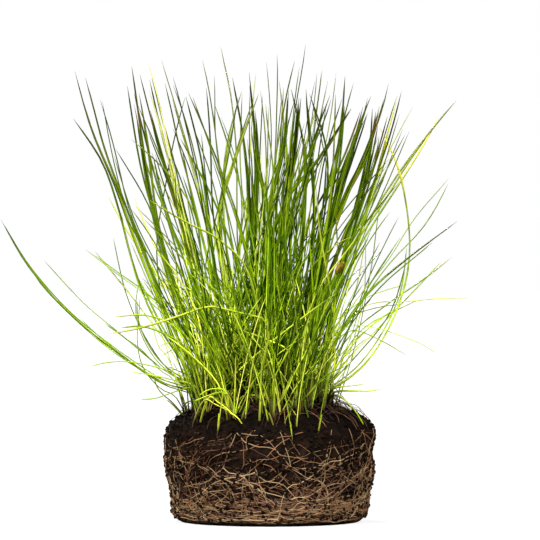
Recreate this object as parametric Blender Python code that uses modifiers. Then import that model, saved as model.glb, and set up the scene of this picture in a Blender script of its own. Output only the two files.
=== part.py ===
"""Dwarf hairgrass: a clump of fine, round culms growing in tufts out of its own root ball.

The origin is the middle of the root ball's flat underside, +Z is up, and the clump is seen along +Y, with
+X to the right. Each tuft is one shoot: a short sheath, sunk in the root ball, that splits into a few culms.
A tuft's culms are grown out of the top of its sheath by extruding faces, so a tuft is one closed body.
"""

import math
import random
from collections import namedtuple
from itertools import permutations

import bmesh
import bpy
import numpy as np
from mathutils import Matrix, Vector, noise

MM = 0.001

# The view that the traced culms were measured in: a 540 x 540 picture, whose axis is level.
PIXEL = 0.23 * MM
MIDDLE_COLUMN = 270
MIDDLE_ROW = 270
GROUND_ROW = 521
VIEW_DISTANCE = 900 * MM
VIEW_HEIGHT = (GROUND_ROW - MIDDLE_ROW) * PIXEL

# Root ball: its half section as (radius, height), from the middle of the underside to the top of the crown.
ROOT_SECTION = [
    (0.0, 0.0),
    (20.6 * MM, 0.0),
    (22.2 * MM, 1.4 * MM),
    (23.0 * MM, 7.5 * MM),
    (23.8 * MM, 14.0 * MM),
    (24.2 * MM, 20.3 * MM),
    (23.3 * MM, 22.4 * MM),
    (20.8 * MM, 23.2 * MM),
    (18.4 * MM, 24.2 * MM),
    (16.6 * MM, 26.0 * MM),
    (12.0 * MM, 27.8 * MM),
    (6.0 * MM, 28.6 * MM),
    (0.0, 28.9 * MM),
]
ROOT_SIDES = 36
ROOT_LUMP = 0.75 * MM
ROOT_LUMP_SIZE = 5.5 * MM
ROOT_FINE_LUMPS = 2.3
ROOT_HEART = 14 * MM
ROOT_FLATNESS = 0.6
FOOT_FLAT = 1.5 * MM

# Crown: the disc that the tufts stand in.
CROWN_MIDDLE = Vector((-1.8 * MM, 0.0))
CROWN_RADIUS = 15.2 * MM
TUFT_SPACING = 3.05 * MM

# Sheath: the buried foot of a tuft.
SHEATH_FOOT = 0.80 * MM
SHEATH_TOP = 1.45 * MM
SHEATH_DEPTH = 2.6 * MM
SHEATH_RISE = 1.4 * MM
SHEATH_CROWN = 0.5 * MM
SHEATH_INSET = 0.27 * MM
SHEATH_FEWEST_SIDES = 4
FACING_UP = 0.9
FAN_REACH = 0.60
SOCKET_GAP = 0.30 * MM
SOCKET_OVERSHOOT = 2.5 * MM

# Culms: the radius is that of the circle round a culm's three-sided section.
STOUT = 0.42 * MM
MEDIUM = 0.36 * MM
FINE = 0.29 * MM
TAPER = 0.60
TAPER_POWER = 1.35
CULM_GAP = 0.14 * MM
PROBE_STEP = 0.5 * MM
PROBE_REACH = 2.5 * MM
LOWEST = 3.0 * MM
HIGHEST = 117.0 * MM
DEEPEST = 47.0 * MM
SMOOTHING_STEPS = 10
SECTION_LENGTH = 21 * MM
SECTIONS_PER_RADIAN = 2.2
FEWEST_SECTIONS = 3
MOST_SECTIONS = 9
SEED = 11

LEAF_GREEN = (0.16, 0.30, 0.03, 1.0)
ROOT_BROWN = (0.035, 0.022, 0.014, 1.0)

# Traced tufts. Each has its foot as (column, depth in mm) and its culms, and each culm has its thickness, the
# depth of its tip in mm, and the points that it passes through, as (column, row) of the picture, foot first.
TRACED_TUFTS = {
    "tuft_far_left": (
        (198, -4.0),
        (STOUT, -9.0, [(194, 391), (180, 388), (155, 378), (109, 345), (68, 311), (31, 268), (2, 221)]),
        (MEDIUM, -6.0, [(195, 389), (180, 385), (150, 374), (112, 350), (75, 317), (44, 286), (30, 264)]),
        (FINE, -11.0, [(193, 390), (182, 388), (160, 382), (128, 359), (100, 337), (80, 319)]),
    ),
    "tuft_left_wisps": (
        (199, 0.0),
        (FINE, 2.0, [(197, 387), (184, 382), (158, 366), (120, 334), (84, 304), (45, 259)]),
        (FINE, 4.0, [(198, 386), (188, 382), (165, 371), (140, 350), (104, 323)]),
    ),
    "tuft_left_low": (
        (201, -8.0),
        (FINE, -12.0, [(197, 389), (187, 388), (172, 392), (156, 397), (141, 398)]),
        (FINE, -10.0, [(198, 389), (188, 383), (174, 380), (158, 376), (143, 374), (127, 372)]),
        (
            FINE, -7.0,
            [(199, 388), (186, 377), (170, 370), (150, 365),
             (127, 363), (108, 365), (91, 370)],
        ),
    ),
    "tuft_left_middle": (
        (200, 4.0),
        (MEDIUM, 9.0, [(187, 345), (163, 309), (123, 279), (101, 260), (86, 250)]),
        (FINE, 12.0, [(177, 362), (150, 318), (130, 295), (112, 272), (95, 251)]),
        (FINE, 14.0, [(168, 368), (145, 341), (131, 308), (121, 272), (113, 238)]),
        (MEDIUM, 7.0, [(178, 378), (158, 362), (143, 338), (136, 312), (139, 284)]),
    ),
    "tuft_left_drooping": (
        (205, -11.5),
        (FINE, -19.0, [(188, 345), (170, 323), (151, 316), (132, 314), (114, 317)]),
        (FINE, -17.0, [(187, 352), (170, 337), (150, 328), (134, 326), (120, 328)]),
        (MEDIUM, -14.0, [(178, 350), (160, 322), (147, 300), (140, 280)]),
    ),
    "tuft_tall_left": (
        (212, 1.0),
        (
            STOUT, 3.0,
            [(188, 368), (163, 312), (146, 270), (128, 224),
             (112, 178), (96, 142), (84, 106), (75, 72)],
        ),
        (
            STOUT, 5.0,
            [(190, 366), (168, 315), (150, 270), (133, 225),
             (117, 182), (102, 142), (91, 106), (85, 78)],
        ),
        (
            FINE, 0.0,
            [(178, 356), (150, 310), (135, 270), (124, 232),
             (116, 196), (103, 163), (88, 139), (74, 119)],
        ),
        (
            MEDIUM, 7.0,
            [(190, 362), (172, 322), (157, 285), (144, 250),
             (135, 225), (126, 200), (113, 176)],
        ),
    ),
    "tuft_left_crossing": (
        (213, -5.0),
        (
            FINE, -9.0,
            [(190, 350), (161, 280), (140, 232), (128, 203),
             (120, 170), (116, 148), (108, 122), (101, 98)],
        ),
        (FINE, -12.0, [(192, 345), (168, 290), (150, 253), (139, 230), (127, 200), (115, 158)]),
        (FINE, -6.0, [(186, 325), (166, 262), (150, 212), (138, 186), (128, 167), (117, 148)]),
    ),
    "tuft_left_second": (
        (217, 6.0),
        (
            STOUT, 9.0,
            [(194, 345), (172, 285), (157, 228), (150, 190),
             (146, 158), (140, 130), (134, 98), (131, 66)],
        ),
        (
            MEDIUM, 11.0,
            [(197, 345), (176, 285), (160, 228), (153, 190),
             (149, 155), (143, 125), (139, 92)],
        ),
        (
            FINE, 7.0,
            [(190, 330), (167, 262), (152, 205), (142, 172),
             (136, 147), (132, 118), (128, 86)],
        ),
    ),
    "tuft_left_dark": (
        (226, -1.0),
        (
            STOUT, 1.0,
            [(208, 340), (196, 285), (186, 238), (176, 203),
             (167, 168), (157, 138), (147, 106), (140, 74)],
        ),
        (
            MEDIUM, 4.0,
            [(211, 340), (200, 285), (191, 238), (182, 205),
             (172, 170), (162, 138), (153, 104), (150, 80)],
        ),
        (
            FINE, -3.0,
            [(200, 330), (182, 270), (168, 222), (158, 190),
             (150, 158), (141, 122), (134, 92)],
        ),
    ),
    "tuft_right_arc": (
        (322, -4.0),
        (
            STOUT, -6.0,
            [(350, 380), (372, 355), (391, 325), (402, 295), (408, 268),
             (410, 240), (407, 208), (398, 168), (378, 127)],
        ),
        (MEDIUM, -9.0, [(347, 378), (368, 352), (386, 328), (398, 303), (405, 272), (407, 246)]),
        (MEDIUM, -3.0, [(337, 376), (357, 355), (376, 336), (391, 312), (400, 290), (406, 262)]),
    ),
    "tuft_right_straight": (
        (303, 6.0),
        (
            STOUT, 14.0,
            [(315, 340), (330, 292), (347, 256), (370, 218),
             (399, 174), (420, 144), (442, 118), (457, 101)],
        ),
        (
            FINE, 11.0,
            [(318, 342), (334, 300), (352, 262), (372, 226),
             (392, 194), (410, 163), (424, 138), (436, 118)],
        ),
    ),
    "tuft_right_upper": (
        (310, 0.5),
        (
            FINE, 1.0,
            [(324, 358), (342, 321), (362, 293), (381, 270),
             (400, 242), (415, 217), (432, 195), (449, 177)],
        ),
        (
            FINE, 4.0,
            [(326, 360), (344, 325), (364, 298), (385, 268),
             (405, 246), (425, 224), (440, 199), (447, 182)],
        ),
    ),
    "tuft_right_dark": (
        (316, -9.0),
        (
            STOUT, -13.0,
            [(327, 362), (342, 328), (359, 303), (379, 283),
             (402, 263), (427, 243), (457, 221)],
        ),
        (FINE, -15.0, [(330, 364), (347, 331), (364, 304), (386, 281), (408, 262), (431, 242)]),
    ),
    "tuft_right_far": (
        (318, 4.5),
        (
            FINE, 8.0,
            [(327, 360), (340, 330), (356, 310), (378, 303),
             (405, 301), (440, 297), (474, 297)],
        ),
        (
            FINE, 11.0,
            [(330, 366), (345, 340), (363, 322), (387, 304),
             (413, 288), (438, 264), (450, 255)],
        ),
    ),
    "tuft_right_middle": (
        (321, 9.0),
        (
            MEDIUM, 16.0,
            [(336, 374), (356, 348), (382, 324), (401, 306),
             (416, 288), (430, 275), (441, 262)],
        ),
        (FINE, 19.0, [(338, 372), (352, 340), (366, 327), (383, 318), (401, 311), (419, 303)]),
    ),
    "tuft_right_low": (
        (330, -9.0),
        (FINE, -12.0, [(333, 393), (341, 391), (352, 391), (366, 391), (383, 388)]),
        (FINE, -14.0, [(331, 390), (338, 387), (347, 386), (360, 384)]),
        (FINE, -17.0, [(332, 395), (339, 396), (346, 401), (354, 410), (361, 422)]),
    ),
    "tuft_middle_left": (
        (238, -7.0),
        (
            STOUT, -5.0,
            [(234, 330), (223, 262), (220, 212), (226, 190),
             (232, 170), (240, 145), (250, 118), (259, 94)],
        ),
        (
            MEDIUM, -8.0,
            [(236, 330), (227, 262), (222, 205), (222, 175),
             (225, 155), (229, 135), (234, 118), (242, 92)],
        ),
        (
            FINE, -6.0,
            [(231, 330), (219, 262), (213, 215), (212, 175),
             (210, 140), (209, 118), (206, 88)],
        ),
        (
            MEDIUM, -4.0,
            [(229, 330), (214, 262), (208, 210), (204, 185),
             (201, 160), (197, 140), (192, 118), (186, 96)],
        ),
    ),
    "tuft_middle": (
        (256, 2.5),
        (
            STOUT, 4.0,
            [(257, 330), (255, 270), (254, 226), (255, 200),
             (256, 165), (257, 140), (255, 118), (249, 72)],
        ),
        (
            MEDIUM, 1.0,
            [(255, 330), (253, 262), (251, 215), (249, 180),
             (246, 155), (240, 118), (233, 78)],
        ),
        (
            FINE, 6.0,
            [(262, 330), (267, 285), (268, 256), (268, 225),
             (271, 195), (276, 160), (279, 132)],
        ),
    ),
    "tuft_middle_crossing": (
        (266, -6.0),
        (
            MEDIUM, -9.0,
            [(260, 330), (250, 268), (240, 225), (226, 185),
             (213, 147), (200, 118), (188, 92)],
        ),
        (FINE, -11.0, [(258, 340), (246, 290), (230, 240), (212, 196), (196, 164), (180, 138)]),
        (
            FINE, -7.0,
            [(262, 330), (257, 275), (250, 228), (241, 190),
             (230, 158), (221, 128), (214, 104)],
        ),
    ),
    "tuft_middle_back": (
        (279, 9.0),
        (MEDIUM, 13.0, [(281, 330), (282, 262), (284, 210), (286, 160), (283, 118), (279, 80)]),
        (
            FINE, 10.0,
            [(277, 330), (272, 262), (270, 215), (276, 180),
             (284, 152), (288, 118), (289, 90)],
        ),
        (
            FINE, 12.0,
            [(284, 330), (290, 262), (292, 205), (303, 168),
             (318, 135), (324, 118), (331, 96)],
        ),
    ),
    "tuft_right_tall": (
        (290, -3.0),
        (
            STOUT, -1.0,
            [(294, 330), (301, 262), (305, 205), (306, 170),
             (305, 150), (303, 135), (299, 118), (292, 88)],
        ),
        (
            MEDIUM, -5.0,
            [(298, 330), (308, 262), (314, 210), (313, 175),
             (309, 145), (308, 118), (306, 90)],
        ),
        (
            MEDIUM, -7.0,
            [(301, 330), (315, 262), (325, 210), (330, 180),
             (326, 150), (317, 118), (308, 94)],
        ),
    ),
    "tuft_right_wide": (
        (304, -6.5),
        (
            STOUT, -10.0,
            [(312, 330), (323, 258), (333, 210), (340, 180),
             (345, 165), (350, 150), (356, 135), (371, 96)],
        ),
        (
            STOUT, -7.0,
            [(308, 330), (318, 262), (330, 210), (335, 180),
             (338, 150), (342, 118), (344, 76)],
        ),
        (
            MEDIUM, -12.0,
            [(309, 330), (320, 258), (328, 215), (332, 190),
             (333, 155), (335, 118), (334, 94)],
        ),
    ),
    "tuft_right_brown": (
        (308, -13.5),
        (
            STOUT, -17.0,
            [(316, 330), (327, 258), (342, 205), (355, 180),
             (366, 155), (374, 130), (378, 118), (386, 84)],
        ),
        (
            MEDIUM, -20.0,
            [(318, 330), (333, 270), (352, 222), (365, 190),
             (374, 160), (381, 136), (386, 116)],
        ),
        (
            MEDIUM, -14.0,
            [(320, 330), (340, 270), (361, 222), (376, 188),
             (385, 157), (391, 135), (395, 118), (402, 90)],
        ),
    ),
    "tuft_right_leaning": (
        (283, 4.0),
        (
            MEDIUM, 6.0,
            [(284, 330), (285, 262), (292, 205), (307, 182),
             (322, 155), (339, 130), (352, 108)],
        ),
        (
            FINE, 3.0,
            [(282, 330), (279, 262), (281, 215), (289, 190),
             (299, 160), (312, 128), (320, 100)],
        ),
        (
            FINE, 8.0,
            [(288, 330), (298, 262), (312, 216), (325, 188),
             (341, 162), (352, 138), (360, 112)],
        ),
    ),
    "tuft_front_bent": (
        (259, -14.0),
        (
            FINE, -24.0,
            [(261, 374), (266, 356), (269, 341), (268, 325), (266, 319), (258, 317),
             (216, 308), (209, 307), (202, 309), (170, 321), (140, 330), (105, 337)],
        ),
        (FINE, -19.0, [(272, 372), (282, 360), (288, 351), (283, 348), (262, 340), (240, 333)]),
    ),
    "tuft_front_left": (
        (232, -18.5),
        (FINE, -25.0, [(229, 396), (220, 393), (208, 396), (193, 401)]),
        (FINE, -22.0, [(217, 383), (198, 363), (180, 348), (163, 337)]),
        (FINE, -23.0, [(227, 393), (217, 388), (208, 389), (200, 394)]),
    ),
    "tuft_front_middle": (
        (274, -18.5),
        (MEDIUM, -25.0, [(272, 392), (278, 372), (287, 352), (300, 330)]),
        (FINE, -22.0, [(283, 396), (293, 372), (305, 350)]),
        (FINE, -23.0, [(265, 392), (259, 372), (248, 350), (240, 330)]),
    ),
    "tuft_front_right": (
        (300, -15.0),
        (FINE, -21.0, [(303, 392), (313, 366), (328, 338), (345, 312)]),
        (FINE, -19.0, [(297, 388), (299, 360), (306, 330), (312, 300)]),
        (FINE, -24.0, [(306, 398), (318, 384), (332, 374), (346, 368)]),
    ),
}
# Kinked or low culms have their sections at their own points, and the others have evenly spaced ones.
KINKED_CULMS = {
    "tuft_front_bent": (0, 1),
    "tuft_right_low": (0, 1, 2),
    "tuft_left_low": (0, 1, 2),
    "tuft_front_left": (0, 2),
    "tuft_far_left": (0, 1, 2),
    "tuft_left_wisps": (0, 1),
}
TRACED_TURN = math.radians(20)
DEPTH_STEP = 0.45 * MM
DEPTH_POWER = 0.85

# A tuft's plan: its foot, how many sides its sheath has, and its culms, each with its angle round the sheath.
Tuft = namedtuple("Tuft", "foot sides culms")
Culm = namedtuple("Culm", "thickness angle sections")

# Tufts by rule. Leans are from the vertical, in degrees, and lengths are along the culm.
Form = namedtuple("Form", "culms length droop thickness")
UPRIGHT_FORM = Form(culms=5, length=(66 * MM, 90 * MM), droop=0.045, thickness=(STOUT, MEDIUM, MEDIUM, FINE))
SKIRT_FORM = Form(culms=4, length=(32 * MM, 54 * MM), droop=0.15, thickness=(MEDIUM, FINE))
ARC_FORM = Form(culms=3, length=(62 * MM, 78 * MM), droop=0.20, thickness=(MEDIUM, FINE))
UPRIGHT_COUNT = 19
UPRIGHT_EDGE_LEAN = (15.0, 23.0)
UPRIGHT_LEAN_SPREAD = 5.5
SKIRT_COUNT = 6
SKIRT_LEAN = (26.0, 52.0)
ARC_STAND = 0.93
ARC_TUFTS = {
    "tuft_back_arc_1": (62.0, 34.0),
    "tuft_back_arc_2": (100.0, 41.0),
    "tuft_back_arc_3": (134.0, 33.0),
    "tuft_front_arc_1": (-128.0, 30.0),
    "tuft_front_arc_2": (-52.0, 31.0),
}
# The columns, left and right, that these tufts keep between at each row.
OUTLINE = [(60, 74, 420), (118, 84, 412), (200, 108, 408), (250, 124, 402), (300, 138, 385)]
OUTLINE += [(350, 144, 362), (380, 158, 345), (421, 172, 336)]
HEADING_SPREAD = 7.0
HEADING_LOOSENS = 2.0
LEAN_SPREAD = 1.6
LEAN_FALLS = 0.7
TUFT_SPRAY = 2.6
SPRAY_SHARE = (0.3, 1.0)
LENGTH_SHARE = (0.70, 1.0)
BOW_SHARE = (0.3, 1.0)
SAG_SHARE = 0.55
DRIFT = 0.018
WANDER = 0.013
PATH_SHARES = (0.0, 0.25, 0.5, 0.75, 1.0)
SKIRT_RING = (0.80, 1.0)
UPRIGHT_RING = (0.0, 0.94)
SUNFLOWER_SEEDS = 900
TRIES = 60


def clear_scene():
    """Removes every object that the startup scene brings."""
    for obj in list(bpy.data.objects):
        bpy.data.objects.remove(obj)


def material(name, colour, roughness):
    """A plain finish."""
    made = bpy.data.materials.new(name)
    made.use_nodes = True
    shader = made.node_tree.nodes["Principled BSDF"]
    shader.inputs["Base Color"].default_value = colour
    shader.inputs["Roughness"].default_value = roughness
    return made


def at_pixel(column, row, depth):
    """The point at that depth that the view shows at (column, row)."""
    widening = (VIEW_DISTANCE + depth) / VIEW_DISTANCE
    across = (column - MIDDLE_COLUMN) * PIXEL * widening
    above_axis = (MIDDLE_ROW - row) * PIXEL * widening
    return Vector((across, depth, VIEW_HEIGHT + above_axis))


def in_outline(point):
    """Whether the point is within the clump's outline, as the view shows it, and its depth."""
    widening = (VIEW_DISTANCE + point.y) / VIEW_DISTANCE
    column = MIDDLE_COLUMN + point.x / (PIXEL * widening)
    row = MIDDLE_ROW - (point.z - VIEW_HEIGHT) / (PIXEL * widening)
    rows, lefts, rights = zip(*OUTLINE)
    shown = np.interp(row, rows, lefts) < column < np.interp(row, rows, rights)
    return shown and LOWEST < point.z < HIGHEST and abs(point.y) < DEEPEST


def ground_height(x, y):
    """The height of the root ball's top under (x, y), before its lumps."""
    radius = math.hypot(x, y)
    top = ROOT_SECTION[5:]
    for (r1, z1), (r0, z0) in zip(top, top[1:]):
        if radius >= r0:
            return z0 + (z1 - z0) * min(1.0, (radius - r0) / (r1 - r0))
    return top[-1][1]


def smooth_line(points):
    """A fine line through the points, which bends evenly from one to the next."""
    line = []
    ends = [2 * points[0] - points[1], *points, 2 * points[-1] - points[-2]]
    for before, start, end, after in zip(ends, ends[1:], ends[2:], ends[3:]):
        for step in range(SMOOTHING_STEPS):
            t = step / SMOOTHING_STEPS
            line.append(
                0.5
                * (
                    2 * start
                    + (end - before) * t
                    + (2 * before - 5 * start + 4 * end - after) * t**2
                    + (3 * start - before - 3 * end + after) * t**3
                )
            )
    return [*line, points[-1]]


def even_points(line, count):
    """count + 1 points spaced evenly along the line."""
    reach = [0.0]
    for start, end in zip(line, line[1:]):
        reach.append(reach[-1] + (end - start).length)
    wanted = np.linspace(0.0, reach[-1], count + 1)
    columns = [np.interp(wanted, reach, [p[axis] for p in line]) for axis in range(3)]
    return [Vector(p) for p in zip(*columns)]


def line_length(line):
    """How long the line is."""
    return sum((end - start).length for start, end in zip(line, line[1:]))


class Room:
    """The space that sheaths and culms so far take up, so that no two of them meet."""

    def __init__(self):
        self.starts = np.empty((0, 3))
        self.ends = np.empty((0, 3))
        self.radii = np.empty(0)
        self.sheath_of = []

    def clear(self, sections, radius, own):
        """Whether a culm along these sections stays clear of all but the sheath of its own tuft."""
        count = max(2, int(line_length(sections) / PROBE_STEP))
        probes = np.array([tuple(p) for p in even_points(sections, count)])
        near = np.all(
            (np.minimum(self.starts, self.ends) < probes.max(0) + PROBE_REACH)
            & (np.maximum(self.starts, self.ends) > probes.min(0) - PROBE_REACH),
            axis=1,
        )
        near &= np.array([name != own for name in self.sheath_of])
        starts = self.starts[near]
        along = self.ends[near] - starts
        offset = probes[:, None, :] - starts[None, :, :]
        share = (offset * along).sum(2) / (along * along).sum(1)
        nearest = offset - np.clip(share, 0, 1)[:, :, None] * along
        distance = np.sqrt((nearest**2).sum(2))
        return bool((distance > self.radii[near] + radius + CULM_GAP).all())

    def count(self):
        """How many lengths take up space."""
        return len(self.radii)

    def forget_after(self, count):
        """Frees the space of all but the first lengths."""
        self.starts, self.ends = self.starts[:count], self.ends[:count]
        self.radii, self.sheath_of = self.radii[:count], self.sheath_of[:count]

    def add(self, sections, radius, sheath_of=None):
        """Takes up the space of a culm, or of the named tuft's sheath, along these sections."""
        points = np.array([tuple(p) for p in sections])
        self.starts = np.vstack([self.starts, points[:-1]])
        self.ends = np.vstack([self.ends, points[1:]])
        self.radii = np.append(self.radii, np.full(len(points) - 1, radius))
        self.sheath_of += [sheath_of] * (len(points) - 1)


def section_count(line):
    """How many lengths a culm is made of: more for a long or a strongly curved one."""
    turn = sum((b - a).angle(c - b, 0.0) for a, b, c in zip(line, line[1:], line[2:]))
    wanted = line_length(line) / SECTION_LENGTH + turn * SECTIONS_PER_RADIAN
    return min(MOST_SECTIONS, max(FEWEST_SECTIONS, round(wanted)))


def fan_point(foot, angle):
    """Where a culm leaves the sheath."""
    reach = SHEATH_TOP * FAN_REACH
    top = ground_height(foot.x, foot.y) + SHEATH_RISE
    return Vector((foot.x + reach * math.cos(angle), foot.y + reach * math.sin(angle), top))


def traced_foot(name):
    """Where a traced tuft stands."""
    column, depth_mm = TRACED_TUFTS[name][0]
    return at_pixel(column, GROUND_ROW, depth_mm * MM).to_2d()


def sheath_sides(culm_count):
    """How many sides a tuft's sheath has."""
    return max(SHEATH_FEWEST_SIDES, culm_count)


def trace_culm(name, index, foot, angle, room):
    """One culm of a traced tuft, with its tip a little nearer or further away until it finds room."""
    thickness, tip_depth_mm, pixels = TRACED_TUFTS[name][1 + index]
    start = fan_point(foot, angle)
    kinked = index in KINKED_CULMS.get(name, ())
    for turn in range(TRIES):
        tip_depth = tip_depth_mm * MM + (turn + 1) // 2 * DEPTH_STEP * (-1) ** turn
        points = [start]
        for place, (column, row) in enumerate(pixels, start=1):
            share = (place / len(pixels)) ** DEPTH_POWER
            points.append(at_pixel(column, row, start.y + (tip_depth - start.y) * share))
        line = smooth_line(points)
        sections = points if kinked else even_points(line, section_count(line))
        if room.clear(sections, thickness, name):
            room.add(sections, thickness)
            return Culm(thickness, angle, sections)
    return None


def trace_tuft(name, foot, room):
    """A traced tuft, with its culms in the first order round the sheath in which all of them find room."""
    count = len(TRACED_TUFTS[name]) - 1
    sides = sheath_sides(count)
    best = []
    for order in permutations(range(sides), count):
        taken = room.count()
        angles = [2 * math.pi * place / sides + TRACED_TURN for place in order]
        made = [trace_culm(name, index, foot, angle, room) for index, angle in enumerate(angles)]
        made = [culm for culm in made if culm]
        best = max(best, made, key=len)
        room.forget_after(taken)
        if len(best) == count:
            break
    for culm in best:
        room.add(culm.sections, culm.thickness)
    return Tuft(foot, sides, best)


def spread_tuft(name, foot, form, lean, heading, room, chance):
    """A tuft of that form, which leans by lean degrees towards heading."""
    start_turn = chance.uniform(0, 2 * math.pi)
    tuft_length = chance.uniform(*form.length)
    sides = sheath_sides(form.culms)
    made = []
    for index in range(form.culms):
        angle = start_turn + 2 * math.pi * index / sides
        start = fan_point(foot, angle)
        thickness = chance.choice(form.thickness)
        for turn in range(TRIES):
            looseness = turn / TRIES
            loosened = 1 + HEADING_LOOSENS * looseness
            way = math.radians(heading + chance.gauss(0, HEADING_SPREAD) * loosened)
            tilt = math.radians(lean * (1 - LEAN_FALLS * looseness) + chance.gauss(0, LEAN_SPREAD))
            away = Vector((math.cos(way), math.sin(way), 0.0))
            side = Vector((-away.y, away.x, 0.0))
            out = Vector((math.cos(angle), math.sin(angle), 0.0))
            aim = away * math.sin(tilt) + Vector((0, 0, math.cos(tilt)))
            aim += out * math.radians(chance.uniform(*SPRAY_SHARE) * TUFT_SPRAY)
            length = tuft_length * chance.uniform(*LENGTH_SHARE)
            bow = (away * chance.uniform(*BOW_SHARE) - Vector((0, 0, SAG_SHARE))) * form.droop * length
            drift = side * chance.gauss(0, DRIFT) * length
            wander = (side * chance.gauss(0, 1) + away * chance.gauss(0, 1)) * WANDER * length
            reach = aim.normalized() * length
            points = [
                start + reach * t + (bow + drift) * t**2 + wander * math.sin(2 * math.pi * t)
                for t in PATH_SHARES
            ]
            line = smooth_line(points)
            sections = even_points(line, section_count(line))
            inside = all(in_outline(point) for point in sections)
            if inside and room.clear(sections, thickness, name):
                room.add(sections, thickness)
                made.append(Culm(thickness, angle, sections))
                break
    return Tuft(foot, sides, made)


def free_feet(count, ring, taken):
    """Up to count places in a ring of the crown, by the sunflower rule, clear of the places taken."""
    golden = math.pi * (3 - math.sqrt(5))
    found = []
    for index in range(SUNFLOWER_SEEDS):
        radius = math.sqrt((index + 0.5) / SUNFLOWER_SEEDS) * CROWN_RADIUS
        way = index * golden
        foot = CROWN_MIDDLE + radius * Vector((math.cos(way), math.sin(way)))
        inside = ring[0] * CROWN_RADIUS <= radius <= ring[1] * CROWN_RADIUS
        if inside and all((foot - other).length > TUFT_SPACING for other in taken + found):
            found.append(foot)
    step = max(1.0, len(found) / count)
    return [found[int(place * step)] for place in range(min(count, len(found)))]


def heading_of(vector):
    """The way that a level vector points, in degrees from +X."""
    return math.degrees(math.atan2(vector.y, vector.x))


def plan_tufts():
    """Every tuft, by name."""
    chance = random.Random(SEED)
    feet = {name: traced_foot(name) for name in TRACED_TUFTS}
    stands = {}
    for name, (heading, lean) in ARC_TUFTS.items():
        way = math.radians(heading)
        feet[name] = CROWN_MIDDLE + ARC_STAND * CROWN_RADIUS * Vector((math.cos(way), math.sin(way)))
        stands[name] = (ARC_FORM, lean, heading)
    for number, foot in enumerate(free_feet(SKIRT_COUNT, SKIRT_RING, list(feet.values())), start=1):
        name = f"tuft_skirt_{number:02d}"
        feet[name] = foot
        stands[name] = (SKIRT_FORM, chance.uniform(*SKIRT_LEAN), heading_of(foot - CROWN_MIDDLE))
    for number, foot in enumerate(free_feet(UPRIGHT_COUNT, UPRIGHT_RING, list(feet.values())), start=1):
        name = f"tuft_upright_{number:02d}"
        out = (foot - CROWN_MIDDLE) / CROWN_RADIUS
        spread = Vector((out.x * UPRIGHT_EDGE_LEAN[0], out.y * UPRIGHT_EDGE_LEAN[1]))
        spread += Vector((chance.gauss(0, 1), chance.gauss(0, 1))) * UPRIGHT_LEAN_SPREAD
        feet[name] = foot
        stands[name] = (UPRIGHT_FORM, spread.length, heading_of(spread))
    room = Room()
    for name, foot in feet.items():
        ground = ground_height(foot.x, foot.y)
        sheath = [foot.to_3d() + Vector((0, 0, z)) for z in (ground, ground + SHEATH_RISE)]
        room.add(sheath, SHEATH_TOP, sheath_of=name)
    tufts = {}
    for name, foot in feet.items():
        if name in TRACED_TUFTS:
            tufts[name] = trace_tuft(name, foot, room)
        else:
            form, lean, heading = stands[name]
            tufts[name] = spread_tuft(name, foot, form, lean, heading, room, chance)
    return tufts


def culm_radius(radius, share):
    """A culm's radius at that share of its length."""
    return radius * (1 - TAPER * share**TAPER_POWER)


def grow_culm(bm, face, thickness, sections):
    """Extrudes the face along the sections, and closes it in a point at the last one."""
    middle = face.calc_center_median()
    angles = [math.atan2(v.co.y - middle.y, v.co.x - middle.x) for v in face.verts]
    last = len(sections) - 1
    for index in range(1, last):
        made = bmesh.ops.extrude_discrete_faces(bm, faces=[face])
        face = made["faces"][0]
        along = (sections[index + 1] - sections[index - 1]).normalized()
        turn = Vector((0, 0, 1)).rotation_difference(along)
        reach = culm_radius(thickness, index / last)
        for vertex, angle in zip(face.verts, angles):
            ring = Vector((math.cos(angle), math.sin(angle), 0.0)) * reach
            vertex.co = sections[index] + turn @ ring
    tip = bmesh.ops.poke(bm, faces=[face])["verts"][0]
    tip.co = sections[last]


def turned_cone(sides, first_angle, foot_radius, top_radius, height, middle, cap_tris):
    """A tapered column with its first corner at first_angle and its middle at that point."""
    bm = bmesh.new()
    bmesh.ops.create_cone(
        bm,
        cap_ends=True,
        cap_tris=cap_tris,
        segments=sides,
        radius1=foot_radius,
        radius2=top_radius,
        depth=height,
    )
    corner = max(bm.verts, key=lambda v: v.co.xy.length)
    turn = first_angle - math.atan2(corner.co.y, corner.co.x)
    bmesh.ops.rotate(bm, verts=bm.verts, cent=(0, 0, 0), matrix=Matrix.Rotation(turn, 3, "Z"))
    bmesh.ops.translate(bm, verts=bm.verts, vec=middle)
    return bm


def first_corner(tuft):
    """Where round a tuft's sheath its first corner stands, as an angle."""
    return tuft.culms[0].angle - math.pi / tuft.sides


def build_tuft(name, tuft, finish, collection):
    """One tuft: a tapered sheath whose top faces grow into its culms."""
    foot = tuft.foot
    height = SHEATH_DEPTH + SHEATH_RISE
    middle = foot.to_3d()
    middle.z = ground_height(foot.x, foot.y) - SHEATH_DEPTH + height / 2
    bm = turned_cone(tuft.sides, first_corner(tuft), SHEATH_FOOT, SHEATH_TOP, height, middle, True)
    fan = [face for face in bm.faces if face.normal.z > FACING_UP]
    hub = min((v for face in fan for v in face.verts), key=lambda v: (v.co.xy - foot).length)
    hub.co.z += SHEATH_CROWN
    bmesh.ops.inset_individual(bm, faces=fan, thickness=SHEATH_INSET, use_even_offset=True)

    def apart(face, angle):
        facing = face.calc_center_median().xy - foot
        turn = math.atan2(facing.y, facing.x) - angle
        return abs((turn + math.pi) % (2 * math.pi) - math.pi)

    for culm in tuft.culms:
        face = min(fan, key=lambda candidate: apart(candidate, culm.angle))
        fan.remove(face)
        grow_culm(bm, face, culm.thickness, culm.sections)
    mesh = bpy.data.meshes.new(name)
    bm.to_mesh(mesh)
    bm.free()
    mesh.materials.append(finish)
    collection.objects.link(bpy.data.objects.new(name, mesh))


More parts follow.
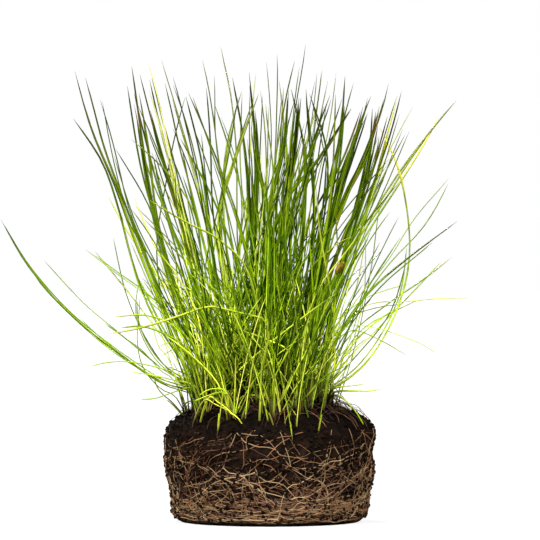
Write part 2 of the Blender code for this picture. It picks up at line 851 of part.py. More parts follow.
def build_socket(name, tuft, cutters):
    """The hole that a tuft's sheath stands in, a little wider than the sheath all round."""
    spare = SOCKET_GAP / math.cos(math.pi / tuft.sides)
    slope = (SHEATH_TOP - SHEATH_FOOT) / (SHEATH_DEPTH + SHEATH_RISE)
    height = SOCKET_GAP + SHEATH_DEPTH + SHEATH_RISE + SOCKET_OVERSHOOT
    top = SHEATH_FOOT + spare + slope * height
    middle = tuft.foot.to_3d()
    middle.z = ground_height(tuft.foot.x, tuft.foot.y) - SHEATH_DEPTH - SOCKET_GAP + height / 2
    bm = turned_cone(tuft.sides, first_corner(tuft), SHEATH_FOOT + spare, top, height, middle, False)
    mesh = bpy.data.meshes.new(name)
    bm.to_mesh(mesh)
    bm.free()
    cutter = bpy.data.objects.new(name, mesh)
    cutter.hide_render = True
    cutter.display_type = "WIRE"
    cutters.objects.link(cutter)


def lumped(point):
    """Where a point of the turned root ball moves to: in or out a little, but never its flat underside."""
    outward = Vector((point.x, point.y, (point.z - ROOT_HEART) * ROOT_FLATNESS))
    if point.z < FOOT_FLAT * 0.5 or outward.length < 1e-6:
        return point
    coarse = point / ROOT_LUMP_SIZE
    swell = noise.noise(coarse) + 0.5 * noise.noise(coarse * ROOT_FINE_LUMPS)
    fade = min(1.0, point.z / (2 * FOOT_FLAT))
    return point + outward.normalized() * swell * ROOT_LUMP * fade


def build_root_ball(finish, collection, cutters):
    """The matted roots and soil: a turned body with lumps, and a socket for each tuft."""
    profile = bpy.data.meshes.new("root_ball_profile")
    corners = [(r, 0.0, z) for r, z in reversed(ROOT_SECTION)]
    profile.from_pydata(corners, [(i, i + 1) for i in range(len(corners) - 1)], [])
    turned = bpy.data.objects.new("root_ball_turned", profile)
    collection.objects.link(turned)
    screw = turned.modifiers.new("turn", "SCREW")
    screw.steps = screw.render_steps = ROOT_SIDES
    screw.use_merge_vertices = True
    screw.merge_threshold = 0.00005
    graph = bpy.context.evaluated_depsgraph_get()
    mesh = bpy.data.meshes.new_from_object(turned.evaluated_get(graph))
    bpy.data.objects.remove(turned)
    for vertex in mesh.vertices:
        vertex.co = lumped(vertex.co.copy())
    mesh.materials.clear()
    mesh.materials.append(finish)
    ball = bpy.data.objects.new("root_ball", mesh)
    collection.objects.link(ball)
    sockets = ball.modifiers.new("sockets", "BOOLEAN")
    sockets.operation = "DIFFERENCE"
    sockets.operand_type = "COLLECTION"
    sockets.collection = cutters
    sockets.solver = "EXACT"
    return ball


def main():
    """Builds the root ball and every tuft in it."""
    clear_scene()
    parts = bpy.data.collections.new("dwarf_hairgrass")
    cutters = bpy.data.collections.new("cutters")
    bpy.context.scene.collection.children.link(parts)
    bpy.context.scene.collection.children.link(cutters)
    leaf = material("leaf", LEAF_GREEN, 0.45)
    soil = material("root_ball", ROOT_BROWN, 0.95)
    for name, tuft in plan_tufts().items():
        build_tuft(name, tuft, leaf, parts)
        build_socket(name + "_socket", tuft, cutters)
    build_root_ball(soil, parts, cutters)


main()
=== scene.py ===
"""Dwarf hairgrass: the finished leaves, sheaths, roots and soil of a clump lifted out with its root ball.

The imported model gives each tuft's form. The middle line of every culm is read from the tuft's solid, and fine
strands, a sheath and young leaves grow along those lines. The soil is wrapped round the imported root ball, and
crumbs, roots and dry fibres follow its surface. All sizes are in metres.
"""

import logging
import math
import random
from dataclasses import dataclass, fields, replace
from enum import Enum, IntEnum
from typing import Any

import bmesh
import bpy
import numpy as np
from bpy.types import ID, Material, Mesh, Modifier, Node, NodeSocket, NodeTree, Object
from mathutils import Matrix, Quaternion, Vector, noise
from mathutils.bvhtree import BVHTree
from mathutils.kdtree import KDTree


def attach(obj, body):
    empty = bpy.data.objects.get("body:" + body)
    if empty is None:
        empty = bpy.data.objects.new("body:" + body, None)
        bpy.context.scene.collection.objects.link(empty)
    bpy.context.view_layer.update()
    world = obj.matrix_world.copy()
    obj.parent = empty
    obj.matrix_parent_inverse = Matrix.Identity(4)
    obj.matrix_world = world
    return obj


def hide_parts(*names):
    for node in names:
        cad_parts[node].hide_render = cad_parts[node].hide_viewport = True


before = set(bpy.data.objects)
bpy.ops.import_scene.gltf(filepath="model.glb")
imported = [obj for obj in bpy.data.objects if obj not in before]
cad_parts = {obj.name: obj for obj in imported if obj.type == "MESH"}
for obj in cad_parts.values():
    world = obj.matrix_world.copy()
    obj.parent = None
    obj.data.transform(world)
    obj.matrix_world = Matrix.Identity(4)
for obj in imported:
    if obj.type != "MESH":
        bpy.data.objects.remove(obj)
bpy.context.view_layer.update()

logging.basicConfig(level=logging.INFO, format="%(message)s")
log = logging.getLogger("hairgrass")

Colour = tuple[float, float, float]
Stops = tuple[tuple[float, Colour], ...]
Range = tuple[float, float]

MM = 0.001
BODY = "root"
UP = Vector((0.0, 0.0, 1.0))
# From a place on the soil to a point above the root ball.
ABOVE = UP * 60 * MM
CROWN_MIDDLE = (-1.8 * MM, 0.0)
WHITE = (1.0, 1.0, 1.0)
BLACK = (0.0, 0.0, 0.0)
# Nearly all of a noise's values lie in this range.
NOISE_RANGE = (0.3, 0.7)
WHOLE = (0.0, 1.0)

FLOAT = "NodeSocketFloat"
INTEGER = "NodeSocketInt"
GEOMETRY = "NodeSocketGeometry"
MATERIAL = "NodeSocketMaterial"


@dataclass(frozen=True)
class View:
    """The square picture that the clump is seen in. Its axis is level."""

    side: int = 540
    pixel: float = 0.23 * MM
    ground_row: int = 521
    distance: float = 900 * MM
    sensor: float = 36.0

    def height(self) -> float:
        """The camera's height above the ground."""
        return (self.ground_row - self.side / 2) * self.pixel

    def lens(self) -> float:
        """The focal length, in millimetres, that gives a pixel its size at the clump."""
        return self.sensor * self.distance / (self.side * self.pixel)

    def at(self, column: float, row: float, depth: float) -> Vector:
        """The point at a depth that the picture shows at a pixel.

        Args:
            column: The pixel's column.
            row: The pixel's row.
            depth: How far behind the middle of the clump the point is.

        Returns:
            The point.
        """
        widening = (self.distance + depth) / self.distance
        across = (column - self.side / 2) * self.pixel * widening
        return Vector((across, depth, self.height() + (self.side / 2 - row) * self.pixel * widening))

    def pixel_of(self, point: Vector) -> Vector:
        """The pixel that shows a point."""
        size = self.pixel * (self.distance + point.y) / self.distance
        return Vector((self.side / 2 + point.x / size, self.side / 2 - (point.z - self.height()) / size))


VIEW = View()


class TreeWriter:
    """Adds nodes to a tree, and sets or links their inputs as they are added."""

    def __init__(self, tree: NodeTree) -> None:
        """Starts writing a tree."""
        self.tree = tree

    @staticmethod
    def pick(sockets: Any, key: int | str) -> NodeSocket:
        """One socket of a node, by number or as the first enabled one of a name."""
        named = (socket for socket in sockets if socket.name == key and socket.enabled)
        return sockets[key] if isinstance(key, int) else next(named)

    def add(self, kind: str, inputs: dict[int | str, Any] | None = None, **settings: Any) -> Node:
        """Adds one node.

        Args:
            kind: The node's type.
            inputs: The value or the socket that each input takes.
            **settings: The node's own settings.

        Returns:
            The node.
        """
        node = self.tree.nodes.new(kind)
        for name, value in settings.items():
            setattr(node, name, value)
        for key, value in (inputs or {}).items():
            socket = self.pick(node.inputs, key)
            if isinstance(value, NodeSocket):
                self.tree.links.new(value, socket)
            else:
                socket.default_value = value
        return node

    def out(self, kind: str, inputs: dict[int | str, Any] | None = None, **settings: Any) -> Any:
        """Adds one node and gives its first enabled output."""
        node = self.add(kind, inputs, **settings)
        return next(socket for socket in node.outputs if socket.enabled)

    def calc(self, operation: str, first: Any, second: Any = 0.0, third: Any = 0.0) -> Any:
        """One sum, as a Math node's output.

        Args:
            operation: The Math node's operation.
            first: Its first value.
            second: Its second value.
            third: Its third value.

        Returns:
            The output socket.
        """
        inputs = {0: first, 1: second}
        if operation in ("MULTIPLY_ADD", "SMOOTH_MIN", "SMOOTH_MAX", "WRAP", "COMPARE"):
            inputs[2] = third
        return self.out("ShaderNodeMath", inputs, operation=operation)

    def blend(self, share: Any, first: Any, second: Any, kind: str = "MIX") -> Any:
        """Two colours mixed."""
        inputs = {0: share, 6: rgba(first), 7: rgba(second)}
        return self.add("ShaderNodeMix", inputs, data_type="RGBA", blend_type=kind).outputs[2]

    def ramp(self, value: Any, stops: Stops) -> Any:
        """A colour read off a ramp.

        Args:
            value: The place on the ramp.
            stops: The ramp's places and their colours.

        Returns:
            The colour's socket.
        """
        node = self.add("ShaderNodeValToRGB", {0: value})
        elements = node.color_ramp.elements
        while len(elements) < len(stops):
            elements.new(0.5)
        for element, (place, colour) in zip(elements, stops):
            element.position = place
            element.color = rgba(colour)
        return node.outputs[0]

    def rescale(self, value: Any, old: tuple[Any, Any], new: tuple[Any, Any], smooth: bool = False) -> Any:
        """A value moved from one range to another, and kept within it."""
        inputs = {"Value": value, "From Min": old[0], "From Max": old[1], "To Min": new[0], "To Max": new[1]}
        return self.out("ShaderNodeMapRange", inputs, interpolation_type="SMOOTHSTEP" if smooth else "LINEAR")

    def times(self, first: Any, second: Any) -> Any:
        """The product of two values."""
        return self.calc("MULTIPLY", first, second)

    def vector(self, operation: str, first: Any, second: Any) -> Any:
        """One sum of vectors, as a Vector Math node's output."""
        key = "Scale" if operation == "SCALE" else 1
        return self.out("ShaderNodeVectorMath", {0: first, key: second}, operation=operation)

    def read(self, name: str) -> Any:
        """A value that a mesh carries, as a shader reads it."""
        return self.add("ShaderNodeAttribute", attribute_name=name).outputs["Fac"]

    def light_up(self, colour: Any, red: Any, green: Any, blue: Any) -> Any:
        """A colour with each of its channels multiplied."""
        light = self.out("ShaderNodeCombineColor", {0: red, 1: green, 2: blue})
        return self.blend(1.0, colour, light, kind="MULTIPLY")


class FinishWriter(TreeWriter):
    """Writes a material: its Principled shader and the nodes that feed it."""

    def __init__(self, name: str, constants: dict[str, Any]) -> None:
        """Starts the material.

        Args:
            name: The material's name.
            constants: The shader's values that are the same all over.
        """
        self.material = bpy.data.materials.new(name)
        self.material.use_nodes = True
        super().__init__(self.material.node_tree)
        self.shader = self.tree.nodes["Principled BSDF"]
        for key, value in constants.items():
            self.shader.inputs[key].default_value = value

    def feed(self, name: str, value: Any) -> None:
        """Links a value to one of the shader's inputs."""
        self.tree.links.new(value, self.shader.inputs[name])

    def relief(self, height: Any, strength: float, depth: float) -> None:
        """Gives the surface its fine relief."""
        inputs = {"Height": height, "Strength": strength, "Distance": depth}
        self.feed("Normal", self.out("ShaderNodeBump", inputs))


def rgba(colour: Any) -> Any:
    """A colour with its alpha, or the socket that it comes from."""
    return (*colour, 1.0) if isinstance(colour, tuple) and len(colour) == 3 else colour


def new_tree(name: str, kind: str, inputs: dict[str, str], outputs: dict[str, str]) -> tuple[TreeWriter, Any]:
    """A tree of nodes with its own named inputs and outputs.

    Args:
        name: The tree's name.
        kind: The tree's type.
        inputs: The type of each named input.
        outputs: The type of each named output.

    Returns:
        A writer for the tree, and the sockets that its inputs come from.
    """
    tree = bpy.data.node_groups.new(name, kind)
    for side, sockets in (("INPUT", inputs), ("OUTPUT", outputs)):
        for socket, socket_type in sockets.items():
            tree.interface.new_socket(name=socket, in_out=side, socket_type=socket_type)
    write = TreeWriter(tree)
    return write, write.add("NodeGroupInput").outputs


def add_object(name: str, data: ID) -> Object:
    """Puts a new object in the scene.

    Args:
        name: Its name.
        data: Its mesh, camera or lamp.

    Returns:
        The object.
    """
    made = bpy.data.objects.new(name, data)
    bpy.context.scene.collection.objects.link(made)
    return made


def make_plain(piece: Object, modifier: Modifier) -> None:
    """Turns a piece with one modifier into plain mesh.

    Args:
        piece: The piece.
        modifier: Its modifier.
    """
    raw = piece.data
    plain = bpy.data.meshes.new_from_object(piece.evaluated_get(bpy.context.evaluated_depsgraph_get()))
    piece.modifiers.remove(modifier)
    piece.data = plain
    bpy.data.meshes.remove(raw)


def beneath(surface: BVHTree, place: Vector) -> Vector | None:
    """The point of a surface right under a place, or None where there is none."""
    return surface.ray_cast(place + ABOVE, -UP)[0]


class Look(Enum):
    """The colourings that a culm can have."""

    GREEN = "green"
    DEEP = "deep green"
    LIME = "lime"
    YELLOW = "yellow"
    YELLOW_TIP = "green with a yellow tip"
    BROWN_TIP = "green with a brown tip"
    DARK_END = "dark green with a long brown end"
    PINK_TIP = "pale with a pinkish tip"
    YELLOW_PINK = "yellow with a pinkish tip"
    RUSTY = "dark with rusty stretches"


@dataclass(frozen=True)
class Tint:
    """The colours of one culm, as the leaf's finish reads them from its mesh."""

    tone: float = 1.0
    yellowing: float = 0.0
    tip_amount: float = 0.0
    tip_hue: float = 0.0
    tip_length: float = 0.2
    rust: float = 0.0
    sheath_age: float = 0.3
    cool: float = 0.2
    unevenness: float = 1.0


TINTS = {
    Look.GREEN: Tint(),
    Look.DEEP: Tint(tone=0.62, unevenness=0.5),
    Look.LIME: Tint(tone=1.02, yellowing=0.12, unevenness=0.6),
    Look.YELLOW: Tint(tone=1.12, yellowing=0.75),
    Look.YELLOW_TIP: Tint(tip_amount=0.95, tip_hue=0.0, tip_length=0.34),
    Look.BROWN_TIP: Tint(tone=0.85, tip_amount=0.9, tip_hue=0.5, tip_length=0.22),
    Look.DARK_END: Tint(tone=0.50, tip_amount=0.9, tip_hue=0.5, tip_length=0.45),
    Look.PINK_TIP: Tint(tone=0.90, yellowing=0.05, tip_amount=0.85, tip_hue=1.0, tip_length=0.16),
    Look.YELLOW_PINK: Tint(tone=0.96, yellowing=0.80, tip_amount=0.85, tip_hue=1.0, tip_length=0.10),
    Look.RUSTY: Tint(tone=0.80, rust=0.6, unevenness=0.5),
}


def by_tuft(groups: dict[Any, tuple[str, ...]]) -> dict[str, Any]:
    """Gives each tuft's node the key of the group that it is in."""
    return {f"tuft_{name}": key for key, names in groups.items() for name in names}


# The traced tufts that aren't plain green.
TUFT_LOOKS = by_tuft(
    {
        Look.DEEP: (
            "far_left", "tall_left", "left_crossing", "left_second", "middle", "right_tall", "right_arc",
            "right_dark", "right_low",
        ),
        Look.RUSTY: ("left_dark", "right_brown"),
        Look.LIME: (
            "left_low", "left_drooping", "front_left", "front_middle", "front_right", "right_middle",
            "right_far",
        ),
        Look.YELLOW: ("front_bent",),
    }
)
# Single culms that have their own colouring, by the pixel of their tip.
MARKED_TIPS = {
    "the far right arc": ((378, 127), Look.YELLOW_TIP),
    "the dark right culm": ((457, 221), Look.DARK_END),
    "the low right wisp": ((419, 303), Look.PINK_TIP),
    "the far right wisp": ((450, 255), Look.PINK_TIP),
    "the bent leaf": ((105, 337), Look.YELLOW_PINK),
    "the upper right wisp": ((436, 118), Look.YELLOW_TIP),
    "the leaning right culm": ((352, 108), Look.BROWN_TIP),
    "the kinked front culm": ((240, 333), Look.LIME),
    "the upper left middle culm": ((86, 250), Look.LIME),
    "the lower left middle culm": ((139, 284), Look.DEEP),
    "the short culm on the left": ((142, 399), Look.DEEP),
    "the pale culm on the left": ((91, 370), Look.LIME),
    "the upper short culm on the right": ((362, 384), Look.LIME),
    "the lower short culm on the right": ((381, 389), Look.LIME),
}
MARK_REACH = 9.0
# How often each colouring comes up in the tufts that fill the crown.
FILLING_LOOKS = {Look.GREEN: 0.52, Look.BROWN_TIP: 0.06, Look.DEEP: 0.42}
CROSSING_LOOKS = (Look.GREEN, Look.GREEN, Look.DEEP)
YOUNG_LOOKS = (Look.LIME, Look.LIME, Look.GREEN, Look.GREEN, Look.GREEN, Look.YELLOW)
FILLING_KINDS = ("upright", "skirt", "arc_")


def is_filling(node: str) -> bool:
    """Whether a tuft fills the crown, and isn't one of those traced in the photo."""
    return any(kind in node for kind in FILLING_KINDS)


@dataclass(frozen=True)
class TracedStrand:
    """A fine strand, by the pixels that show it, foot first. Its foot is moved down to the soil."""

    tuft: str
    look: Look
    width: float
    foot_depth: float
    tip_depth: float
    strands: int
    pixels: tuple[Range, ...]


# Painted light and shade on the lower leaves, by the picture's column that their foot stands in: painted shade
# in the middle of the clump, painted light on either side of it.
PAINTED_FOOT_LIGHT = (
    (170, 0.78),
    (205, 1.22),
    (228, 1.32),
    (250, 0.80),
    (270, 0.52),
    (290, 0.46),
    (303, 0.76),
    (316, 1.35),
    (328, 1.30),
    (345, 0.85),
)
# Gaps between the bundles and beside the clump, as (left, top, right, bottom) in the picture.
OPENINGS = (
    (214, 90, 242, 252),
    (196, 170, 242, 252),
    (236, 90, 286, 165),
    (303, 90, 334, 175),
    (343, 252, 480, 395),
    (372, 190, 480, 255),
    (60, 90, 128, 320),
    (60, 300, 168, 420),
)

# Each strand's name, tuft, look, width, depth of foot and tip, count of strands, and pixels. Widths and
# depths are in millimetres, and a depth below zero is in front of the middle of the clump.
TRACINGS = (
    ("long lime strand across the front", "front_left", Look.LIME, 0.34, -13, -17, 1,
     ((243, 410), (235, 400), (222, 386), (208, 371), (195, 359), (178, 344), (163, 333))),
    ("short yellow strand", "front_left", Look.YELLOW, 0.36, -14, -26, 1,
     ((198, 397), (207, 399), (216, 404), (224, 410), (230, 416))),
    ("pale strand below it", "front_left", Look.YELLOW, 0.30, -13, -26, 1,
     ((190, 400), (203, 400), (216, 404), (229, 411), (240, 420))),
    ("hanging end of the broken leaf", "front_middle", Look.YELLOW, 0.40, -20, -27, 1,
     ((259, 393), (262, 373), (265, 357), (269, 339), (268, 321))),
    ("arch under the kinked culm", "front_middle", Look.LIME, 0.29, -14, -17, 1,
     ((272, 402), (271, 391), (274, 377), (280, 363), (289, 351))),
    ("low arc in the middle", "front_middle", Look.LIME, 0.29, -12, -14, 1,
     ((236, 406), (241, 399), (252, 397), (262, 399), (269, 402))),
    ("lime strand right of the middle", "front_right", Look.LIME, 0.34, -12, -15, 1,
     ((285, 412), (290, 398), (297, 380), (305, 361), (315, 338), (322, 318))),
    ("yellow strand among the right bundles", "front_right", Look.YELLOW_PINK, 0.43, -11, -19, 1,
     ((322, 402), (334, 340), (332, 300), (325, 266), (319, 232), (316, 190))),
    ("lime strand to the right bundles", "front_right", Look.YELLOW, 0.36, -11, -18, 1,
     ((300, 402), (304, 338), (318, 292), (334, 267), (345, 252), (356, 236))),
    ("strand with an orange end", "front_right", Look.YELLOW_TIP, 0.31, -11, -18, 1,
     ((290, 402), (297, 300), (312, 266), (325, 254), (336, 243), (348, 237))),
    ("fruiting culm", "front_right", Look.GREEN, 0.33, -11, -20, 1,
     ((296, 402), (308, 335), (322, 293), (336, 273))),
    ("thin arc at the right foot", "right_low", Look.DEEP, 0.22, -8, -8, 1,
     ((303, 405), (309, 386), (318, 377), (330, 383), (340, 393), (351, 405))),
    ("first low right strand", "right_low", Look.LIME, 0.28, 0, 4, 1,
     ((312, 400), (318, 365), (335, 325), (362, 299), (390, 289), (413, 284))),
    ("second low right strand", "right_middle", Look.LIME, 0.28, 2, 8, 1,
     ((316, 400), (330, 345), (350, 318), (375, 308), (398, 304))),
    ("third low right strand", "right_low", Look.GREEN, 0.25, -4, -8, 1,
     ((312, 403), (330, 370), (345, 350), (365, 331), (387, 316))),
    ("fourth low right strand", "right_low", Look.GREEN, 0.29, -3, -4, 1,
     ((316, 402), (330, 378), (350, 350), (372, 325), (394, 306))),
    ("upright right strand", "right_middle", Look.GREEN, 0.26, 3, 6, 1,
     ((333, 402), (344, 372), (356, 330), (364, 290), (367, 235))),
    ("pale drooping strand", "right_low", Look.LIME, 0.22, -2, -6, 1,
     ((318, 400), (326, 350), (345, 328), (370, 329), (391, 335), (420, 345), (437, 355))),
    ("lime drooping strand", "right_low", Look.PINK_TIP, 0.22, -3, -7, 1,
     ((320, 402), (330, 352), (345, 332), (360, 331), (385, 341), (407, 353))),
    ("brownish thin strand", "right_far", Look.YELLOW_TIP, 0.24, 1, 4, 1,
     ((326, 400), (345, 312), (355, 290), (362, 262), (366, 240))),
    ("pale thin strand", "right_far", Look.LIME, 0.22, 4, 8, 1,
     ((334, 400), (360, 330), (371, 270), (377, 225), (384, 190))),
    ("short dark strand", "right_middle", Look.BROWN_TIP, 0.22, -6, -9, 1,
     ((318, 400), (330, 310), (346, 281), (364, 265))),
    ("bright strand across the left bundles", "front_middle", Look.YELLOW, 0.40, -12, -22, 1,
     ((260, 402), (260, 330), (245, 268), (219, 239), (190, 223), (170, 211), (150, 199))),
    ("bright strand at the upper left", "left_middle", Look.LIME, 0.34, -6, -11, 1,
     ((226, 404), (218, 320), (206, 255), (190, 206), (166, 171), (130, 138))),
    ("bright strand low on the left", "left_middle", Look.YELLOW, 0.34, -11, -19, 1,
     ((208, 404), (200, 325), (180, 280), (166, 260), (153, 242))),
    ("upper left strand", "left_second", Look.GREEN, 0.31, -3, -6, 1,
     ((204, 402), (205, 320), (194, 250), (168, 172), (143, 118), (137, 104))),
    ("outer left strand", "tall_left", Look.DEEP, 0.31, -2, -4, 1,
     ((190, 403), (180, 340), (150, 262), (126, 198), (107, 118), (103, 102))),
    ("pale left strand", "left_wisps", Look.LIME, 0.24, -2, -6, 1,
     ((188, 403), (162, 335), (140, 285), (128, 245), (120, 210))),
    ("looping left strand", "left_drooping", Look.LIME, 0.26, -5, -9, 1,
     ((192, 404), (168, 362), (158, 350), (153, 335), (151, 320), (155, 305))),
    ("lowest left strand", "left_low", Look.LIME, 0.29, -6, -8, 1,
     ((190, 407), (172, 404), (163, 397), (156, 388), (153, 375))),
    ("thin upright strand on the left", "left_low", Look.LIME, 0.22, -4, -8, 1,
     ((189, 404), (176, 397), (163, 390), (151, 378), (144, 367),
      (140, 354), (138, 337), (139, 318), (140, 299))),
    ("second long strand on the left", "left_low", Look.GREEN, 0.24, -3, -7, 1,
     ((190, 402), (175, 382), (160, 370), (151, 359), (140, 347), (121, 334), (104, 323))),
    ("first drooping strand on the left", "left_middle", Look.LIME, 0.24, -7, -11, 1,
     ((200, 402), (197, 362), (187, 345), (174, 340), (163, 343), (156, 345))),
    ("second drooping strand on the left", "left_middle", Look.GREEN, 0.24, -6, -9, 1,
     ((198, 402), (194, 360), (185, 346), (178, 347), (169, 353), (159, 359))),
    ("strand across the tall left bundle", "left_middle", Look.GREEN, 0.24, -6, -10, 1,
     ((206, 402), (196, 350), (182, 331), (169, 317), (157, 306), (140, 290))),
    ("short dark strand low on the right", "right_low", Look.BROWN_TIP, 0.25, -5, -8, 1,
     ((322, 402), (330, 378), (339, 363), (345, 358), (354, 351), (367, 341))),
    ("thin upright strand at the right foot", "right_middle", Look.LIME, 0.24, -6, -8, 1,
     ((330, 403), (333, 388), (336, 371), (337, 351), (335, 332))),
    ("thin strand leaning out at the right foot", "right_middle", Look.LIME, 0.25, -4, -6, 1,
     ((326, 403), (330, 393), (340, 378), (346, 369), (351, 360), (357, 345))),
    ("first crossing strand", "middle_left", Look.GREEN, 0.34, -7, -11, 1,
     ((207, 404), (208, 330), (212, 260), (220, 210), (235, 165), (250, 118), (257, 96))),
    ("second crossing strand", "middle_left", Look.DEEP, 0.34, -9, -14, 1,
     ((214, 404), (206, 330), (206, 265), (220, 200), (227, 160), (234, 118), (239, 98))),
    ("third crossing strand", "left_crossing", Look.DEEP, 0.34, 0, -5, 1,
     ((198, 402), (166, 320), (156, 250), (168, 180), (180, 118), (185, 96))),
    ("fourth crossing strand", "middle", Look.GREEN, 0.34, -6, -10, 1,
     ((258, 404), (262, 280), (271, 200), (280, 160), (288, 118), (293, 97))),
    ("fifth crossing strand", "middle", Look.DEEP, 0.34, -8, -12, 1,
     ((268, 404), (275, 260), (290, 195), (306, 158), (324, 118), (332, 99))),
    ("crossing strand with a brown end", "middle_back", Look.BROWN_TIP, 0.34, -4, -9, 1,
     ((270, 402), (277, 270), (292, 205), (307, 182), (322, 155), (339, 130))),
    ("lime strand in the middle", "front_middle", Look.GREEN, 0.31, -12, -16, 1,
     ((262, 404), (266, 320), (268, 256), (271, 195))),
    ("long strand leaning left", "middle_crossing", Look.GREEN, 0.34, -7, -12, 1,
     ((268, 403), (258, 300), (240, 225), (218, 170), (200, 118), (194, 99))),
    ("long strand on the right", "right_tall", Look.GREEN, 0.33, -5, -9, 1,
     ((322, 402), (336, 300), (338, 230), (329, 170), (316, 118), (310, 97))),
    ("olive bundle on the right", "right_wide", Look.DEEP, 0.46, -2, -4, 6,
     ((300, 402), (312, 330), (325, 260), (331, 225), (338, 200), (350, 160), (362, 118), (367, 97))),
    ("brown bundle on the right", "right_leaning", Look.RUSTY, 0.44, -5, -8, 7,
     ((296, 402), (305, 320), (318, 262), (335, 222), (350, 187),
      (360, 168), (370, 143), (378, 118), (383, 100))),
    ("dark bundle at the right edge", "right_brown", Look.DEEP, 0.48, 0, 1, 7,
     ((315, 402), (328, 330), (341, 270), (350, 232), (358, 205), (366, 175), (372, 143), (376, 108))),
    ("green strands over the dark bundle", "right_wide", Look.GREEN, 0.34, -4, -7, 4,
     ((306, 402), (316, 330), (327, 280), (337, 255), (347, 230), (360, 199), (370, 172), (378, 145))),
    ("olive strand at the right edge", "right_brown", Look.YELLOW_TIP, 0.42, 1, 3, 2,
     ((318, 402), (331, 335), (344, 290), (354, 255), (365, 215), (380, 170), (392, 118), (396, 100))),
    ("wide crossing bundle", "middle", Look.DEEP, 0.40, -6, -9, 3,
     ((262, 402), (264, 320), (268, 258), (273, 230), (292, 192), (315, 164), (338, 131), (350, 112))),
    ("first dark bundle in the middle", "middle", Look.DEEP, 0.40, -3, -6, 3,
     ((266, 402), (265, 330), (266, 260), (269, 218), (276, 176), (282, 147), (285, 118), (287, 97))),
    ("second dark bundle in the middle", "middle_back", Look.DEEP, 0.44, -1, -3, 5,
     ((278, 402), (280, 330), (283, 260), (286, 218), (291, 180), (296, 144), (299, 118), (301, 97))),
    ("dark strands beside the first bundle", "middle", Look.DEEP, 0.38, -4, -7, 2,
     ((276, 402), (274, 300), (272, 240), (269, 211), (263, 183), (256, 154), (251, 118), (249, 100))),
    ("dark strand on the right", "right_straight", Look.DEEP, 0.34, -6, -10, 1,
     ((300, 403), (312, 290), (314, 190), (309, 118), (306, 97))),
)
TRACED_STRANDS = {name: TracedStrand(f"tuft_{tuft}", *values) for name, tuft, *values in TRACINGS}
FRUITING_CULM = "fruiting culm"


@dataclass
class Line:
    """A line that a strand or a fibre grows along, with the values that its mesh carries."""

    points: list[Vector]
    values: dict[str, float]


@dataclass(frozen=True)
class Habit:
    """How a culm of one stoutness splits into strands."""

    strands: int
    radius: float
    foot_spread: float
    tip_spread: float
    shortest: float
    sheath_radius: float
    sway: float = 1.0


BUNDLE = Habit(4, 0.22 * MM, 0.45 * MM, 0.40 * MM, 0.74, 0.34 * MM, 0.4)
GATHERED = Habit(4, 0.22 * MM, 0.80 * MM, 0.30 * MM, 0.74, 0.34 * MM, 0.3)
NARROW = Habit(2, 0.22 * MM, 0.60 * MM, 0.24 * MM, 0.84, 0.34 * MM, 0.3)
PAIR = Habit(2, 0.22 * MM, 0.28 * MM, 1.0 * MM, 0.70, 0.33 * MM)
SINGLE = Habit(1, 0.16 * MM, 0.0, 0.0, 1.0, 0.26 * MM)
FILLING = Habit(1, 0.18 * MM, 0.0, 0.0, 1.0, 0.27 * MM)
THICKET = Habit(4, 0.24 * MM, 0.50 * MM, 0.58 * MM, 0.74, 0.34 * MM, 0.5)
ARCHING = Habit(3, 0.14 * MM, 0.80 * MM, 0.25 * MM, 0.80, 0.34 * MM, 0.6)
TIGHT = Habit(2, 0.17 * MM, 0.60 * MM, 0.35 * MM, 0.85, 0.34 * MM, 0.6)
STRIKING = Habit(1, 0.24 * MM, 0.0, 0.0, 1.0, 0.36 * MM)
SLIGHT = Habit(1, 0.15 * MM, 0.0, 0.0, 1.0, 0.28 * MM)
WISPY = Habit(1, 0.13 * MM, 0.0, 0.0, 1.0, 0.24 * MM)

# The least radius near the foot of a culm that splits in all its habit's strands, and in half of them.
STOUT = 0.363 * MM
MEDIUM = 0.297 * MM

# The tufts of each habit. The others are FILLING where they fill the crown, and BUNDLE elsewhere.
TUFT_HABITS = by_tuft(
    {
        NARROW: ("tall_left",),
        GATHERED: ("left_second", "left_dark", "middle_left", "middle"),
        THICKET: ("right_tall", "right_wide", "right_leaning"),
        PAIR: ("right_brown", "right_straight"),
        TIGHT: ("right_arc", "right_dark"),
        ARCHING: ("far_left", "left_wisps", "left_middle"),
        SINGLE: ("front_middle", "front_right", "right_far"),
        STRIKING: ("front_bent",),
        SLIGHT: (
            "left_low", "left_crossing", "front_left", "right_middle", "right_low", "front_arc_2", "skirt_05",
            "upright_05", "upright_08", "upright_12", "upright_13", "upright_17",
        ),
        WISPY: (
            "right_upper", "back_arc_1", "skirt_06", "upright_01", "upright_02", "upright_03", "upright_09",
            "upright_11", "upright_16",
        ),
    }
)


@dataclass
class Guide:
    """The middle line of one culm of a packed tuft, foot first, and the radius of its solid near the foot."""

    points: list[Vector]
    girth: float

    def habit(self, node: str) -> Habit:
        """How the culm splits into strands.

        Args:
            node: The tuft's node.

        Returns:
            The habit.
        """
        habit = TUFT_HABITS.get(node, FILLING if is_filling(node) else BUNDLE)
        if self.girth > STOUT:
            return habit
        return replace(habit, strands=math.ceil(habit.strands / 2) if self.girth > MEDIUM else 1)


